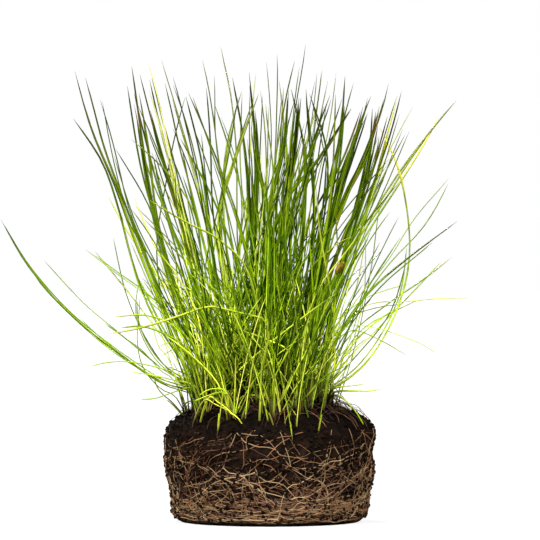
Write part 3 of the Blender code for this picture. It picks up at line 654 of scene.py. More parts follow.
@dataclass(frozen=True)
class GuideReader:
    """Reads the culms' middle lines back from a packed tuft."""

    weld: float = 1e-6
    fewest_rings: int = 4
    sides: int = 3

    def read(self, node: str) -> list[Guide]:
        """Finds each culm by its pointed tip, and follows its rings down to the sheath.

        Args:
            node: The tuft's node.

        Returns:
            The guides of the tuft.
        """
        bm = bmesh.new()
        bm.from_mesh(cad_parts[node].data)
        bmesh.ops.remove_doubles(bm, verts=bm.verts, dist=self.weld)
        tips = [vertex for vertex in bm.verts if len(vertex.link_edges) == self.sides]
        guides = [guide for guide in map(self.follow, tips) if guide]
        bm.free()
        return sorted(guides, key=lambda guide: tuple(round(v / MM, 2) for v in guide.points[-1]))

    def follow(self, tip: bmesh.types.BMVert) -> Guide | None:
        """Follows one culm from its tip.

        Args:
            tip: The vertex at the tip.

        Returns:
            The guide, or None where the vertex is no tip.
        """
        seen = {tip}
        ring = [tip]
        middles = [tip.co.copy()]
        girths = [0.0]
        while True:
            ring = sorted({e.other_vert(v) for v in ring for e in v.link_edges} - seen, key=lambda v: v.index)
            if len(ring) != self.sides:
                break
            seen.update(ring)
            middle = sum((v.co for v in ring), Vector()) / self.sides
            middles.append(middle)
            girths.append(max((v.co - middle).length for v in ring))
        if len(middles) <= self.fewest_rings:
            return None
        return Guide(middles[-2::-1], girths[-3])


class Draw(IntEnum):
    """A strand's own random numbers, each set apart from the others by its number here."""

    WAY = 1
    LENGTH = 2
    TONE = 3
    STOUTNESS = 4


class StrandTree:
    """The tree that grows tapered strands along a piece's lines, with a sheath round each line's foot."""

    INPUTS = {
        "Geometry": GEOMETRY,
        "Steps": INTEGER,
        "Sides": INTEGER,
        "Wave": FLOAT,
        "Wave Size": FLOAT,
        "Tone Spread": FLOAT,
        "Seed": INTEGER,
        "Finish": MATERIAL,
        "Sheath Finish": MATERIAL,
    }
    TAPER = ((0.0, 0.86), (0.12, 1.0), (0.74, 1.0), (0.90, 0.90), (0.98, 0.58), (1.0, 0.12))
    SHEATH_TAPER = ((0.0, 0.90), (0.25, 1.0), (0.70, 0.80), (0.93, 0.66), (1.0, 0.56))
    SHEATH_STEPS = 8
    SMOOTHING = 8
    LATE_PARTING = 1.3
    WAVE_SHIFT = 9.0
    STOUTNESS = (0.84, 1.14)
    PROFILE_START = 0.5

    def __init__(self, name: str, with_sheaths: bool) -> None:
        """Builds the tree.

        Args:
            name: The tree's name.
            with_sheaths: Whether each line has a sheath.
        """
        self.write, self.inputs = new_tree(name, "GeometryNodeTree", self.INPUTS, {"Geometry": GEOMETRY})
        self.tree = self.write.tree
        lines = self.smooth_lines()
        shapes = [self.strands(lines)]
        if with_sheaths:
            shapes.append(self.sheaths(lines))
        self.finish(shapes)

    def value(self, name: str) -> Any:
        """A named value that the lines carry."""
        return self.write.out("GeometryNodeInputNamedAttribute", {"Name": name}, data_type="FLOAT")

    def rise(self) -> Any:
        """How far along its curve a point is, from 0 at the foot to 1 at the tip."""
        return self.write.add("GeometryNodeSplineParameter").outputs["Factor"]

    def chance(self, low: Any, high: Any, draw: Draw) -> Any:
        """A random number for each strand.

        Args:
            low: The least that it can be.
            high: The most that it can be.
            draw: What it is for.

        Returns:
            The number's socket.
        """
        seed = self.write.calc("ADD", self.inputs["Seed"], float(draw))
        kind = "FLOAT_VECTOR" if isinstance(low, tuple) else "FLOAT"
        keys = (0, 1) if kind == "FLOAT_VECTOR" else (2, 3)
        inputs = {keys[0]: low, keys[1]: high, 8: seed}
        number = self.write.out("FunctionNodeRandomValue", inputs, data_type=kind)
        return self.write.out("GeometryNodeFieldOnDomain", {0: number}, domain="CURVE", data_type=kind)

    def store(self, shape: Any, name: str, value: Any) -> Any:
        """Keeps a value on the points of a shape, under a name."""
        inputs = {"Geometry": shape, "Name": name, "Value": value}
        return self.write.out("GeometryNodeStoreNamedAttribute", inputs, data_type="FLOAT", domain="POINT")

    def smooth_lines(self) -> Any:
        """The piece's lines as evenly divided smooth curves.

        Returns:
            The curves' socket.
        """
        curve = self.write.out("GeometryNodeMeshToCurve", {"Mesh": self.inputs["Geometry"]})
        curve = self.write.out("GeometryNodeCurveSplineType", {"Curve": curve}, spline_type="CATMULL_ROM")
        inputs = {"Geometry": curve, "Resolution": self.SMOOTHING}
        return self.evenly(self.write.out("GeometryNodeSetSplineResolution", inputs), self.inputs["Steps"])

    def evenly(self, curve: Any, count: Any) -> Any:
        """A curve divided into evenly spaced points."""
        return self.write.out("GeometryNodeResampleCurve", {"Curve": curve, "Count": count}, mode="COUNT")

    def strands(self, lines: Any) -> Any:
        """Each line's strands, which part from each other towards their tips.

        Args:
            lines: The smooth lines.

        Returns:
            The strands' mesh.
        """
        write = self.write
        inputs = {"Geometry": lines, "Amount": self.value("strands")}
        copies = write.add("GeometryNodeDuplicateElements", inputs, domain="SPLINE").outputs
        later = write.calc("MINIMUM", copies["Duplicate Index"], 1.0)
        curve = self.store(copies["Geometry"], "follower", later)
        follower = self.value("follower")
        curve = write.out("GeometryNodeSetPosition", {"Geometry": curve, "Offset": self.offset(follower)})
        shorter = write.calc("SUBTRACT", 1.0, self.chance(self.value("shortest"), 1.0, Draw.LENGTH))
        end = write.calc("SUBTRACT", 1.0, write.times(shorter, follower))
        curve = write.out("GeometryNodeTrimCurve", {"Curve": curve, 3: end}, mode="FACTOR")
        curve = self.evenly(curve, self.inputs["Steps"])
        spread = write.times(self.inputs["Tone Spread"], self.value("unevenness"))
        low = write.calc("SUBTRACT", 1.0, spread)
        high = write.calc("ADD", 1.0, spread)
        curve = self.store(curve, "tone", write.times(self.value("tone"), self.chance(low, high, Draw.TONE)))
        stoutness = write.times(self.value("radius"), self.chance(*self.STOUTNESS, Draw.STOUTNESS))
        return self.tubes(curve, stoutness, self.TAPER, 0.0)

    def offset(self, follower: Any) -> Any:
        """How a strand leaves its line: away from the line's first strand, and in slow waves of its own.

        Args:
            follower: 0 for the line's first strand, and 1 for the others.

        Returns:
            The offset's socket.
        """
        write = self.write
        rise = self.rise()
        away = self.chance((-1.0, -1.0, -1.0), (1.0, 1.0, 1.0), Draw.WAY)
        spreads = (self.value("foot_spread"), self.value("tip_spread"))
        spread = write.rescale(write.calc("POWER", rise, self.LATE_PARTING), WHOLE, spreads)
        parting = write.vector("SCALE", away, write.times(spread, follower))
        place = write.out("GeometryNodeInputPosition")
        place = write.vector("SCALE", place, write.calc("DIVIDE", 1.0, self.inputs["Wave Size"]))
        place = write.vector("ADD", place, write.vector("SCALE", away, self.WAVE_SHIFT))
        inputs = {"Vector": place, "Scale": 1.0, "Detail": 1.0}
        cloud = write.add("ShaderNodeTexNoise", inputs).outputs["Color"]
        cloud = write.vector("SUBTRACT", cloud, (0.5, 0.5, 0.5))
        sway = write.times(self.inputs["Wave"], write.times(rise, self.value("sway")))
        return write.vector("ADD", parting, write.vector("SCALE", cloud, sway))

    def sheaths(self, lines: Any) -> Any:
        """A tube round the foot of each line.

        Args:
            lines: The smooth lines.

        Returns:
            The sheaths' mesh.
        """
        inputs = {"Curve": lines, 5: self.value("sheath")}
        curve = self.write.out("GeometryNodeTrimCurve", inputs, mode="LENGTH")
        curve = self.evenly(curve, self.SHEATH_STEPS)
        return self.tubes(curve, self.value("sheath_radius"), self.SHEATH_TAPER, 1.0)

    def tubes(self, curve: Any, radius: Any, taper: tuple, sheathing: float) -> Any:
        """Closed tubes along curves, which keep where round and how far along each point is.

        Args:
            curve: The curves.
            radius: Each curve's greatest radius.
            taper: The share of it at places from foot to tip.
            sheathing: 1 for sheaths, and 0 for strands.

        Returns:
            The tubes' mesh.
        """
        write = self.write
        along = write.add("GeometryNodeSplineParameter").outputs
        index = write.out("GeometryNodeInputIndex")
        index = write.out("GeometryNodeFieldOnDomain", {0: index}, domain="CURVE", data_type="FLOAT")
        kept = {"rise": along["Factor"], "reach": along["Length"], "strand": index, "sheathing": sheathing}
        for name, value in kept.items():
            curve = self.store(curve, name, value)
        share = write.add("ShaderNodeFloatCurve", {"Value": self.rise()})
        points = share.mapping.curves[0].points
        while len(points) < len(taper):
            points.new(self.PROFILE_START, self.PROFILE_START)
        for point, place in zip(points, taper):
            point.location = place
        share.mapping.update()
        size = write.times(radius, share.outputs[0])
        ring = write.out("GeometryNodeCurvePrimitiveCircle", {0: self.inputs["Sides"], 4: 1.0}, mode="RADIUS")
        ring = self.store(ring, "around", self.rise())
        inputs = {"Curve": curve, "Profile Curve": ring, "Scale": size, "Fill Caps": True}
        return write.out("GeometryNodeCurveToMesh", inputs)

    def finish(self, shapes: list[Any]) -> None:
        """Joins the shapes, smooths them and gives them their finishes.

        Args:
            shapes: The strands, and the sheaths where there are any.
        """
        write = self.write
        joined = write.add("GeometryNodeJoinGeometry")
        for shape in reversed(shapes):
            write.tree.links.new(shape, joined.inputs[0])
        smooth = write.out("GeometryNodeSetShadeSmooth", {"Geometry": joined.outputs[0]})
        real = write.out("GeometryNodeRealizeInstances", {"Geometry": smooth})
        dressed = write.out("GeometryNodeSetMaterial", {"Geometry": real, "Material": self.inputs["Finish"]})
        if len(shapes) > 1:
            chosen = write.calc("GREATER_THAN", self.value("sheathing"), 0.5)
            inputs = {"Geometry": dressed, "Selection": chosen, "Material": self.inputs["Sheath Finish"]}
            dressed = write.out("GeometryNodeSetMaterial", inputs)
        write.add("NodeGroupOutput", {"Geometry": dressed})


class CrumbTree:
    """The tree that strews lumps of peat over the soil."""

    INPUTS = {
        "Geometry": GEOMETRY,
        "Density": FLOAT,
        "Smallest": FLOAT,
        "Largest": FLOAT,
        "Lowest": FLOAT,
        "Seed": INTEGER,
        "Finish": MATERIAL,
    }
    FULL_TURN = (6.3, 6.3, 6.3)
    SIZE_SEED = 3

    def __init__(self) -> None:
        """Builds the tree."""
        write, inputs = new_tree("crumbs", "GeometryNodeTree", self.INPUTS, {"Geometry": GEOMETRY})
        self.tree = write.tree
        place = write.out("GeometryNodeInputPosition")
        height = write.add("ShaderNodeSeparateXYZ", {0: place}).outputs["Z"]
        spread = {
            "Mesh": inputs["Geometry"],
            "Selection": write.calc("GREATER_THAN", height, inputs["Lowest"]),
            "Density": inputs["Density"],
            "Seed": inputs["Seed"],
        }
        spots = write.add("GeometryNodeDistributePointsOnFaces", spread).outputs["Points"]
        lump = write.out("GeometryNodeMeshIcoSphere", {"Radius": 1.0, "Subdivisions": 1})
        turns = {0: (0.0, 0.0, 0.0), 1: self.FULL_TURN}
        turn = write.out("FunctionNodeRandomValue", turns, data_type="FLOAT_VECTOR")
        low, high = (
            write.out("ShaderNodeCombineXYZ", {axis: inputs[name] for axis in range(3)})
            for name in ("Smallest", "Largest")
        )
        sizes = {0: low, 1: high, 8: self.SIZE_SEED}
        size = write.out("FunctionNodeRandomValue", sizes, data_type="FLOAT_VECTOR")
        strewn = {"Points": spots, "Instance": lump, "Rotation": turn, "Scale": size}
        lumps = write.out("GeometryNodeInstanceOnPoints", strewn)
        real = write.out("GeometryNodeRealizeInstances", {"Geometry": lumps})
        dressed = write.out("GeometryNodeSetMaterial", {"Geometry": real, "Material": inputs["Finish"]})
        write.add("NodeGroupOutput", {"Geometry": dressed})


def lines_mesh(name: str, lines: list[Line]) -> Mesh:
    """A mesh of loose edges along lines, with each line's values on its points.

    Args:
        name: The mesh's name.
        lines: The lines.

    Returns:
        The mesh.
    """
    points = [tuple(point) for line in lines for point in line.points]
    edges = []
    start = 0
    for line in lines:
        after = start + len(line.points)
        edges += [(index, index + 1) for index in range(start, after - 1)]
        start = after
    mesh = bpy.data.meshes.new(name)
    mesh.from_pydata(points, edges, [])
    counts = [len(line.points) for line in lines]
    for key in lines[0].values:
        spread = np.repeat([line.values[key] for line in lines], counts)
        mesh.attributes.new(key, "FLOAT", "POINT").data.foreach_set("value", spread.astype(np.float32))
    return mesh


def grow(name: str, mesh: Mesh, tree: NodeTree, values: dict[str, Any]) -> Object:
    """Grows a piece from a mesh by a tree, and keeps the result as a plain mesh.

    Args:
        name: The piece's name.
        mesh: The mesh that the tree starts from.
        tree: The tree.
        values: The values of the tree's named inputs.

    Returns:
        The piece.
    """
    piece = add_object(name, mesh)
    growth = piece.modifiers.new("growth", "NODES")
    growth.node_group = tree
    for socket in tree.interface.items_tree:
        if socket.in_out == "INPUT" and socket.name in values:
            growth[socket.identifier] = values[socket.name]
    make_plain(piece, growth)
    piece.data.name = name
    return piece


def lay_strips(mesh: Mesh, margin: float = 0.08) -> None:
    """Gives a mesh of tubes its own map, in which each tube is one upright strip.

    Args:
        mesh: The mesh, with the values around, rise, strand and sheathing on its points.
        margin: The share of a strip's width that stays free on each side.
    """
    read = {}
    for key in ("around", "rise", "strand", "sheathing"):
        read[key] = np.empty(len(mesh.vertices), np.float32)
        mesh.attributes[key].data.foreach_get("value", read[key])
    corners = np.empty(len(mesh.loops), np.int32)
    mesh.loops.foreach_get("vertex_index", corners)
    sizes = np.empty(len(mesh.polygons), np.int32)
    mesh.polygons.foreach_get("loop_total", sizes)
    # The last face round a tube ends where the first one starts, so its corners at 0 are moved to 1.
    face = np.repeat(np.arange(len(sizes)), sizes)
    around = read["around"][corners]
    widest = np.zeros(len(sizes), np.float32)
    np.maximum.at(widest, face, around)
    around = np.where((widest[face] > 0.5) & (around < 0.01), 1.0, around)
    # Each tube has its own whole number, those of the sheaths after those of the strands.
    tube = read["strand"] + read["sheathing"] * (read["strand"].max() + 1)
    places = np.unique(np.round(tube), return_inverse=True)[1].reshape(-1)[corners]
    across = (places + margin + (1 - 2 * margin) * around) / (places.max() + 1)
    layer = mesh.uv_layers.new(name="OFBake")
    layer.data.foreach_set("uv", np.column_stack([across, read["rise"][corners]]).astype(np.float32).ravel())


def to_mesh(name: str, shape: bmesh.types.BMesh) -> Mesh:
    """Turns a shape in the making into a mesh.

    Args:
        name: The mesh's name.
        shape: The shape, which is freed.

    Returns:
        The mesh.
    """
    mesh = bpy.data.meshes.new(name)
    shape.to_mesh(mesh)
    shape.free()
    return mesh


def dress(mesh: Mesh, finish: Material) -> None:
    """Gives a mesh its only finish, and smooth shading.

    Args:
        mesh: The mesh.
        finish: The finish.
    """
    mesh.materials.clear()
    mesh.materials.append(finish)
    for polygon in mesh.polygons:
        polygon.use_smooth = True


class Effects:
    """The shader groups that more than one finish uses."""

    STRANDS_APART = 7.31
    FINER = 6.0
    CLEAR_FOOT = 3.5 * MM

    def __init__(self) -> None:
        """Builds the groups."""
        self.streaks = self.build_streaks()
        self.mottle = self.build_mottle()
        self.foot_shade = self.build_foot_shade()

    def build_streaks(self) -> NodeTree:
        """Fine ribs and blotches that run along a strand.

        Returns:
            The group.
        """
        sockets = {"Ribs": FLOAT, "Blotch Length": FLOAT}
        outputs = {"Rib": FLOAT, "Blotch": FLOAT}
        write, inputs = new_tree("streaks", "ShaderNodeTree", sockets, outputs)
        around = write.read("around")
        turn = write.times(around, write.times(inputs["Ribs"], 2 * math.pi))
        rib = write.calc("MULTIPLY_ADD", write.calc("COSINE", turn), 0.5, 0.5)
        along = write.calc("DIVIDE", write.read("reach"), inputs["Blotch Length"])
        apart = write.times(write.read("strand"), self.STRANDS_APART)
        place = write.out("ShaderNodeCombineXYZ", {0: apart, 1: along, 2: around})
        blotch = write.out("ShaderNodeTexNoise", {"Vector": place, "Scale": 1.0, "Detail": 3.0})
        write.add("NodeGroupOutput", {"Rib": rib, "Blotch": blotch})
        return write.tree

    def build_foot_shade(self) -> NodeTree:
        """How much light is left near a strand's foot: painted shade low on the culms and sheaths that stand
        behind the front of the crown, inside the clump.

        Returns:
            The group.
        """
        sockets = {"Shade Strength": FLOAT, "Top": FLOAT}
        write, inputs = new_tree("foot shade", "ShaderNodeTree", sockets, {"Light": FLOAT})
        low = write.rescale(write.read("reach"), (self.CLEAR_FOOT, inputs["Top"]), (1.0, 0.0), smooth=True)
        dark = write.times(write.times(low, write.read("foot_shade")), inputs["Shade Strength"])
        write.add("NodeGroupOutput", {"Light": write.calc("SUBTRACT", 1.0, dark)})
        return write.tree

    def build_mottle(self) -> NodeTree:
        """Coarse and fine patches through a piece.

        Returns:
            The group.
        """
        outputs = {"Coarse": FLOAT, "Fine": FLOAT}
        write, inputs = new_tree("mottle", "ShaderNodeTree", {"Patch Size": FLOAT}, outputs)
        place = write.add("ShaderNodeTexCoord").outputs["Object"]
        scale = write.calc("DIVIDE", 1.0, inputs["Patch Size"])
        coarse = write.out("ShaderNodeTexNoise", {"Vector": place, "Scale": scale, "Detail": 4.0})
        finer = write.times(scale, self.FINER)
        fine = write.out("ShaderNodeTexNoise", {"Vector": place, "Scale": finer, "Detail": 3.0})
        write.add("NodeGroupOutput", {"Coarse": coarse, "Fine": fine})
        return write.tree


@dataclass(frozen=True)
class LeafFinish:
    """Smooth green culms: pale at the foot, lime above it, and deeper green towards the tip."""

    length: float = 105 * MM
    stops: Stops = (
        (0.0, (0.34, 0.37, 0.040)),
        (0.07, (0.40, 0.50, 0.014)),
        (0.18, (0.43, 0.60, 0.006)),
        (0.32, (0.315, 0.47, 0.003)),
        (0.42, (0.226, 0.336, 0.003)),
        (0.52, (0.138, 0.209, 0.001)),
        (0.66, (0.041, 0.064, 0.001)),
        (1.0, (0.020, 0.034, 0.001)),
    )
    tips: Stops = (
        (0.0, (0.80, 0.74, 0.05)),
        (0.5, (0.16, 0.075, 0.022)),
        (1.0, (0.72, 0.42, 0.32)),
    )
    yellow: Colour = (0.54, 0.56, 0.048)
    # The pale whitish green of the brightest culms: partly a paler colour, partly painted sheen.
    pale: Colour = (0.64, 0.73, 0.24)
    rust: Colour = (0.27, 0.085, 0.018)
    cool_shade: Colour = (0.78, 0.96, 0.90)
    ribs: float = 3.0
    blotch_length: float = 7 * MM
    drift: float = 16 * MM
    cool_part: Range = (0.08, 0.42)
    coolness: Range = (0.35, 1.0)
    rust_patches: Range = (0.52, 0.60)
    tip_raggedness: float = 0.16
    # Which tones turn pale, and how far: partly a paler colour, partly painted sheen.
    pale_sheen_tones: Range = (1.05, 1.75)
    pale_sheen_share: Range = (0.0, 0.25)
    rib_light: Range = (0.22, 0.86)
    blotch_light: Range = (0.82, 1.18)
    # Painted light and shade near the foot: the reach they fade over, the contrast they add, and the painted
    # foot shade's strength and top.
    low_part: Range = (14 * MM, 50 * MM)
    deepening: float = 1.25
    foot_contrast: float = 0.8
    foot_shade_strength: float = 0.66
    dark_foot: float = 12 * MM
    brightest: Range = (1.9, 1.55)
    roughness: Range = (0.18, 0.30)
    relief: Range = (0.35, 0.05 * MM)

    def build(self, effects: Effects) -> Material:
        """Builds the material.

        Args:
            effects: The shared shader groups.

        Returns:
            The material.
        """
        constants = {
            "Subsurface Weight": 0.12,
            "Subsurface Radius": (0.9, 1.0, 0.25),
            "Subsurface Scale": 0.6 * MM,
            "Specular IOR Level": 0.30,
            "Specular Tint": (0.80, 1.0, 0.40, 1.0),
        }
        write = FinishWriter("hairgrass_leaf", constants)
        inputs = {"Ribs": self.ribs, "Blotch Length": self.blotch_length}
        streaks = write.add("ShaderNodeGroup", inputs, node_tree=effects.streaks).outputs
        rib, blotch = streaks["Rib"], streaks["Blotch"]
        light = self.light(write, rib, blotch, effects)
        deepened = write.calc("POWER", light, self.deepening)
        write.feed("Base Color", write.light_up(self.colour(write, blotch), deepened, light, deepened))
        write.feed("Roughness", write.rescale(blotch, NOISE_RANGE, self.roughness))
        write.relief(rib, *self.relief)
        return write.material

    def colour(self, write: TreeWriter, blotch: Any) -> Any:
        """The leaf's colour, before it is made lighter or darker.

        Args:
            write: The material's writer.
            blotch: The blotches' value.

        Returns:
            The colour's socket.
        """
        drift = write.calc("MULTIPLY_ADD", blotch, self.drift, -self.drift / 2)
        place = write.rescale(write.calc("ADD", write.read("reach"), drift), (0.0, self.length), WHOLE)
        cooling = write.times(write.read("cool"), write.rescale(place, self.cool_part, self.coolness))
        colour = write.blend(cooling, write.ramp(place, self.stops), self.cool_shade, kind="MULTIPLY")
        colour = write.blend(write.read("yellowing"), colour, self.yellow)
        patches = write.rescale(blotch, self.rust_patches, WHOLE, smooth=True)
        colour = write.blend(write.times(write.read("rust"), patches), colour, self.rust)
        from_tip = write.calc("SUBTRACT", 1.0, write.read("rise"))
        evened = write.calc("SUBTRACT", from_tip, self.tip_raggedness / 2)
        ragged = write.calc("MULTIPLY_ADD", blotch, self.tip_raggedness, evened)
        near_tip = write.rescale(ragged, (write.read("tip_length"), 0.0), WHOLE, smooth=True)
        tip_colour = write.ramp(write.read("tip_hue"), self.tips)
        colour = write.blend(write.times(near_tip, write.read("tip_amount")), colour, tip_colour)
        # The brightest-toned culms turn pale and whitish: partly a paler colour, partly painted sheen.
        pale_sheen = write.rescale(write.read("tone"), self.pale_sheen_tones, self.pale_sheen_share)
        return write.blend(pale_sheen, colour, self.pale)

    def light(self, write: TreeWriter, rib: Any, blotch: Any, effects: Effects) -> Any:
        """How light the leaf is: ribbed, blotched, of its own tone, and with painted light and shade near its
        foot.

        Args:
            write: The material's writer.
            rib: The ribs' value.
            blotch: The blotches' value.
            effects: The shared shader groups.

        Returns:
            The lightness's socket.
        """
        ribbed = write.calc("MULTIPLY_ADD", rib, *self.rib_light)
        light = write.times(ribbed, write.rescale(blotch, NOISE_RANGE, self.blotch_light))
        light = write.times(light, write.read("tone"))
        # Near the foot: painted light and shade, as more contrast, the painted foot light of the foot's column
        # and the painted foot shade.
        low = write.rescale(write.read("reach"), self.low_part, (1.0, 0.0), smooth=True)
        light = write.calc("POWER", light, write.calc("MULTIPLY_ADD", low, self.foot_contrast, 1.0))
        gain = write.calc("SUBTRACT", write.read("painted_foot_light"), 1.0)
        light = write.times(light, write.calc("MULTIPLY_ADD", low, gain, 1.0))
        light = write.calc("MINIMUM", light, write.rescale(low, WHOLE, self.brightest))
        inputs = {"Shade Strength": self.foot_shade_strength, "Top": self.dark_foot}
        shade = write.add("ShaderNodeGroup", inputs, node_tree=effects.foot_shade)
        return write.times(light, shade.outputs["Light"])


@dataclass(frozen=True)
class SheathFinish:
    """Papery basal sheaths: near black at the foot, partly their dark red-brown and partly painted shade; straw
    in the middle and pale lime at the mouth.
    """

    # Both ramps are near black at the foot: partly the sheaths' dark red-brown, partly painted shade.
    fresh: Stops = (
        (0.0, (0.012, 0.005, 0.002)),
        (0.22, (0.035, 0.020, 0.005)),
        (0.42, (0.24, 0.25, 0.024)),
        (0.66, (0.41, 0.50, 0.022)),
        (1.0, (0.36, 0.52, 0.010)),
    )
    old: Stops = (
        (0.0, (0.012, 0.005, 0.002)),
        (0.28, (0.040, 0.015, 0.006)),
        (0.52, (0.17, 0.085, 0.028)),
        (0.78, (0.36, 0.24, 0.07)),
        (1.0, (0.44, 0.36, 0.08)),
    )
    ribs: float = 4.0
    blotch_length: float = 2.5 * MM
    raggedness: float = 0.5
    rib_light: Range = (0.35, 0.78)
    foot_shade_strength: float = 0.74
    dark_foot: float = 10 * MM
    roughness: Range = (0.45, 0.65)
    relief: Range = (0.5, 0.06 * MM)

    def build(self, effects: Effects) -> Material:
        """Builds the material.

        Args:
            effects: The shared shader groups.

        Returns:
            The material.
        """
        constants = {"Subsurface Weight": 0.15, "Subsurface Scale": 0.5 * MM, "Specular IOR Level": 0.2}
        write = FinishWriter("hairgrass_sheath", constants)
        # Painted light and shade by where the sheath's foot stands in the clump.
        inputs = {"Shade Strength": self.foot_shade_strength, "Top": self.dark_foot}
        shade = write.add("ShaderNodeGroup", inputs, node_tree=effects.foot_shade)
        tone = write.times(write.times(write.read("tone"), write.read("painted_foot_light")), shade.outputs["Light"])
        inputs = {"Ribs": self.ribs, "Blotch Length": self.blotch_length}
        streaks = write.add("ShaderNodeGroup", inputs, node_tree=effects.streaks).outputs
        rib, blotch = streaks["Rib"], streaks["Blotch"]
        evened = write.calc("SUBTRACT", write.read("rise"), self.raggedness / 2)
        place = write.calc("MULTIPLY_ADD", blotch, self.raggedness, evened)
        fresh, old = write.ramp(place, self.fresh), write.ramp(place, self.old)
        colour = write.blend(write.read("sheath_age"), fresh, old)
        light = write.times(write.calc("MULTIPLY_ADD", rib, *self.rib_light), tone)
        write.feed("Base Color", write.light_up(colour, light, light, light))
        write.feed("Roughness", write.rescale(blotch, NOISE_RANGE, self.roughness))
        write.relief(rib, *self.relief)
        return write.material


@dataclass(frozen=True)
class FibreFinish:
    """Roots and dry fibres: cream, tan or red-brown, by each fibre's own hue."""

    stops: Stops = (
        (0.0, (0.030, 0.012, 0.007)),
        (0.35, (0.082, 0.030, 0.012)),
        (0.65, (0.26, 0.135, 0.058)),
        (1.0, (0.46, 0.33, 0.17)),
    )
    ribs: float = 2.0
    blotch_length: float = 3 * MM
    unevenness: float = 0.5
    roughness: Range = (0.55, 0.8)
    relief: Range = (0.5, 0.08 * MM)

    def build(self, effects: Effects) -> Material:
        """Builds the material.

        Args:
            effects: The shared shader groups.

        Returns:
            The material.
        """
        constants = {"Specular IOR Level": 0.3, "Subsurface Weight": 0.1, "Subsurface Scale": 0.4 * MM}
        write = FinishWriter("hairgrass_fibre", constants)
        inputs = {"Ribs": self.ribs, "Blotch Length": self.blotch_length}
        blotch = write.add("ShaderNodeGroup", inputs, node_tree=effects.streaks).outputs["Blotch"]
        evened = write.calc("SUBTRACT", write.read("hue"), self.unevenness / 2)
        place = write.calc("MULTIPLY_ADD", blotch, self.unevenness, evened)
        write.feed("Base Color", write.ramp(place, self.stops))
        write.feed("Roughness", write.rescale(blotch, NOISE_RANGE, self.roughness))
        write.relief(blotch, *self.relief)
        return write.material


@dataclass(frozen=True)
class MottledFinish:
    """Something crumbly: dark, with browner patches and pale specks, and where asked darker towards its top:
    painted shade under the foliage.
    """

    name: str
    dark: Colour
    brown: Colour
    pale: Colour
    patch_size: float
    top_shade: float = 0.0
    top_shade_height: Range = (18 * MM, 25 * MM)
    patches: Range = (0.38, 0.66)
    specks: Range = (0.60, 0.72)
    speck_amount: float = 0.6
    roughness: Range = (0.62, 0.95)
    relief: Range = (0.8, 0.25 * MM)

    def build(self, effects: Effects) -> Material:
        """Builds the material.

        Args:
            effects: The shared shader groups.

        Returns:
            The material.
        """
        write = FinishWriter(self.name, {"Specular IOR Level": 0.03})
        inputs = {"Patch Size": self.patch_size}
        mottle = write.add("ShaderNodeGroup", inputs, node_tree=effects.mottle).outputs
        colour = write.blend(write.rescale(mottle["Coarse"], self.patches, WHOLE), self.dark, self.brown)
        specks = write.rescale(mottle["Fine"], self.specks, (0.0, self.speck_amount), smooth=True)
        colour = write.blend(specks, colour, self.pale)
        place = write.add("ShaderNodeTexCoord").outputs["Object"]
        height = write.add("ShaderNodeSeparateXYZ", {0: place}).outputs["Z"]
        # Painted shade: darker towards the top, under the foliage.
        top_shade = write.rescale(height, self.top_shade_height, (0.0, self.top_shade), smooth=True)
        write.feed("Base Color", write.blend(top_shade, colour, BLACK))
        write.feed("Roughness", write.rescale(mottle["Coarse"], NOISE_RANGE, self.roughness))
        write.relief(mottle["Fine"], *self.relief)
        return write.material


# The soil and its crumbs have painted shade on their top, under the foliage.
SOIL = MottledFinish(
    name="hairgrass_soil",
    dark=(0.0026, 0.0017, 0.0012),
    brown=(0.014, 0.007, 0.004),
    pale=(0.050, 0.027, 0.014),
    patch_size=2.2 * MM,
    top_shade=0.7,
)
CRUMB = MottledFinish(
    name="hairgrass_crumb",
    dark=(0.003, 0.0018, 0.0011),
    brown=(0.015, 0.0075, 0.0042),
    pale=(0.055, 0.027, 0.013),
    patch_size=1.4 * MM,
    top_shade=0.7,
)
SCALES = MottledFinish(
    name="hairgrass_spikelet",
    dark=(0.09, 0.055, 0.006),
    brown=(0.33, 0.23, 0.018),
    pale=(0.50, 0.40, 0.06),
    patch_size=0.6 * MM,
)


@dataclass(frozen=True)
class FloorFinish:
    """Plain pale studio floor."""

    colour: Colour = (0.12, 0.12, 0.12)
    grain: Colour = (0.15, 0.15, 0.15)
    grain_amount: float = 0.03
    glow: float = 0.82

    def build(self) -> Material:
        """Builds the material.

        Returns:
            The material.
        """
        write = FinishWriter("studio_floor", {"Roughness": 0.8, "Specular IOR Level": 0.1})
        place = write.add("ShaderNodeTexCoord").outputs["Object"]
        grain = write.out("ShaderNodeTexNoise", {"Vector": place, "Scale": 3.0, "Detail": 2.0})
        share = write.rescale(grain, NOISE_RANGE, (0.0, self.grain_amount))
        write.feed("Base Color", write.blend(share, self.colour, self.grain))
        write.shader.inputs["Emission Color"].default_value = rgba(WHITE)
        seen = write.add("ShaderNodeLightPath").outputs["Is Camera Ray"]
        write.feed("Emission Strength", write.times(seen, self.glow))
        return write.material


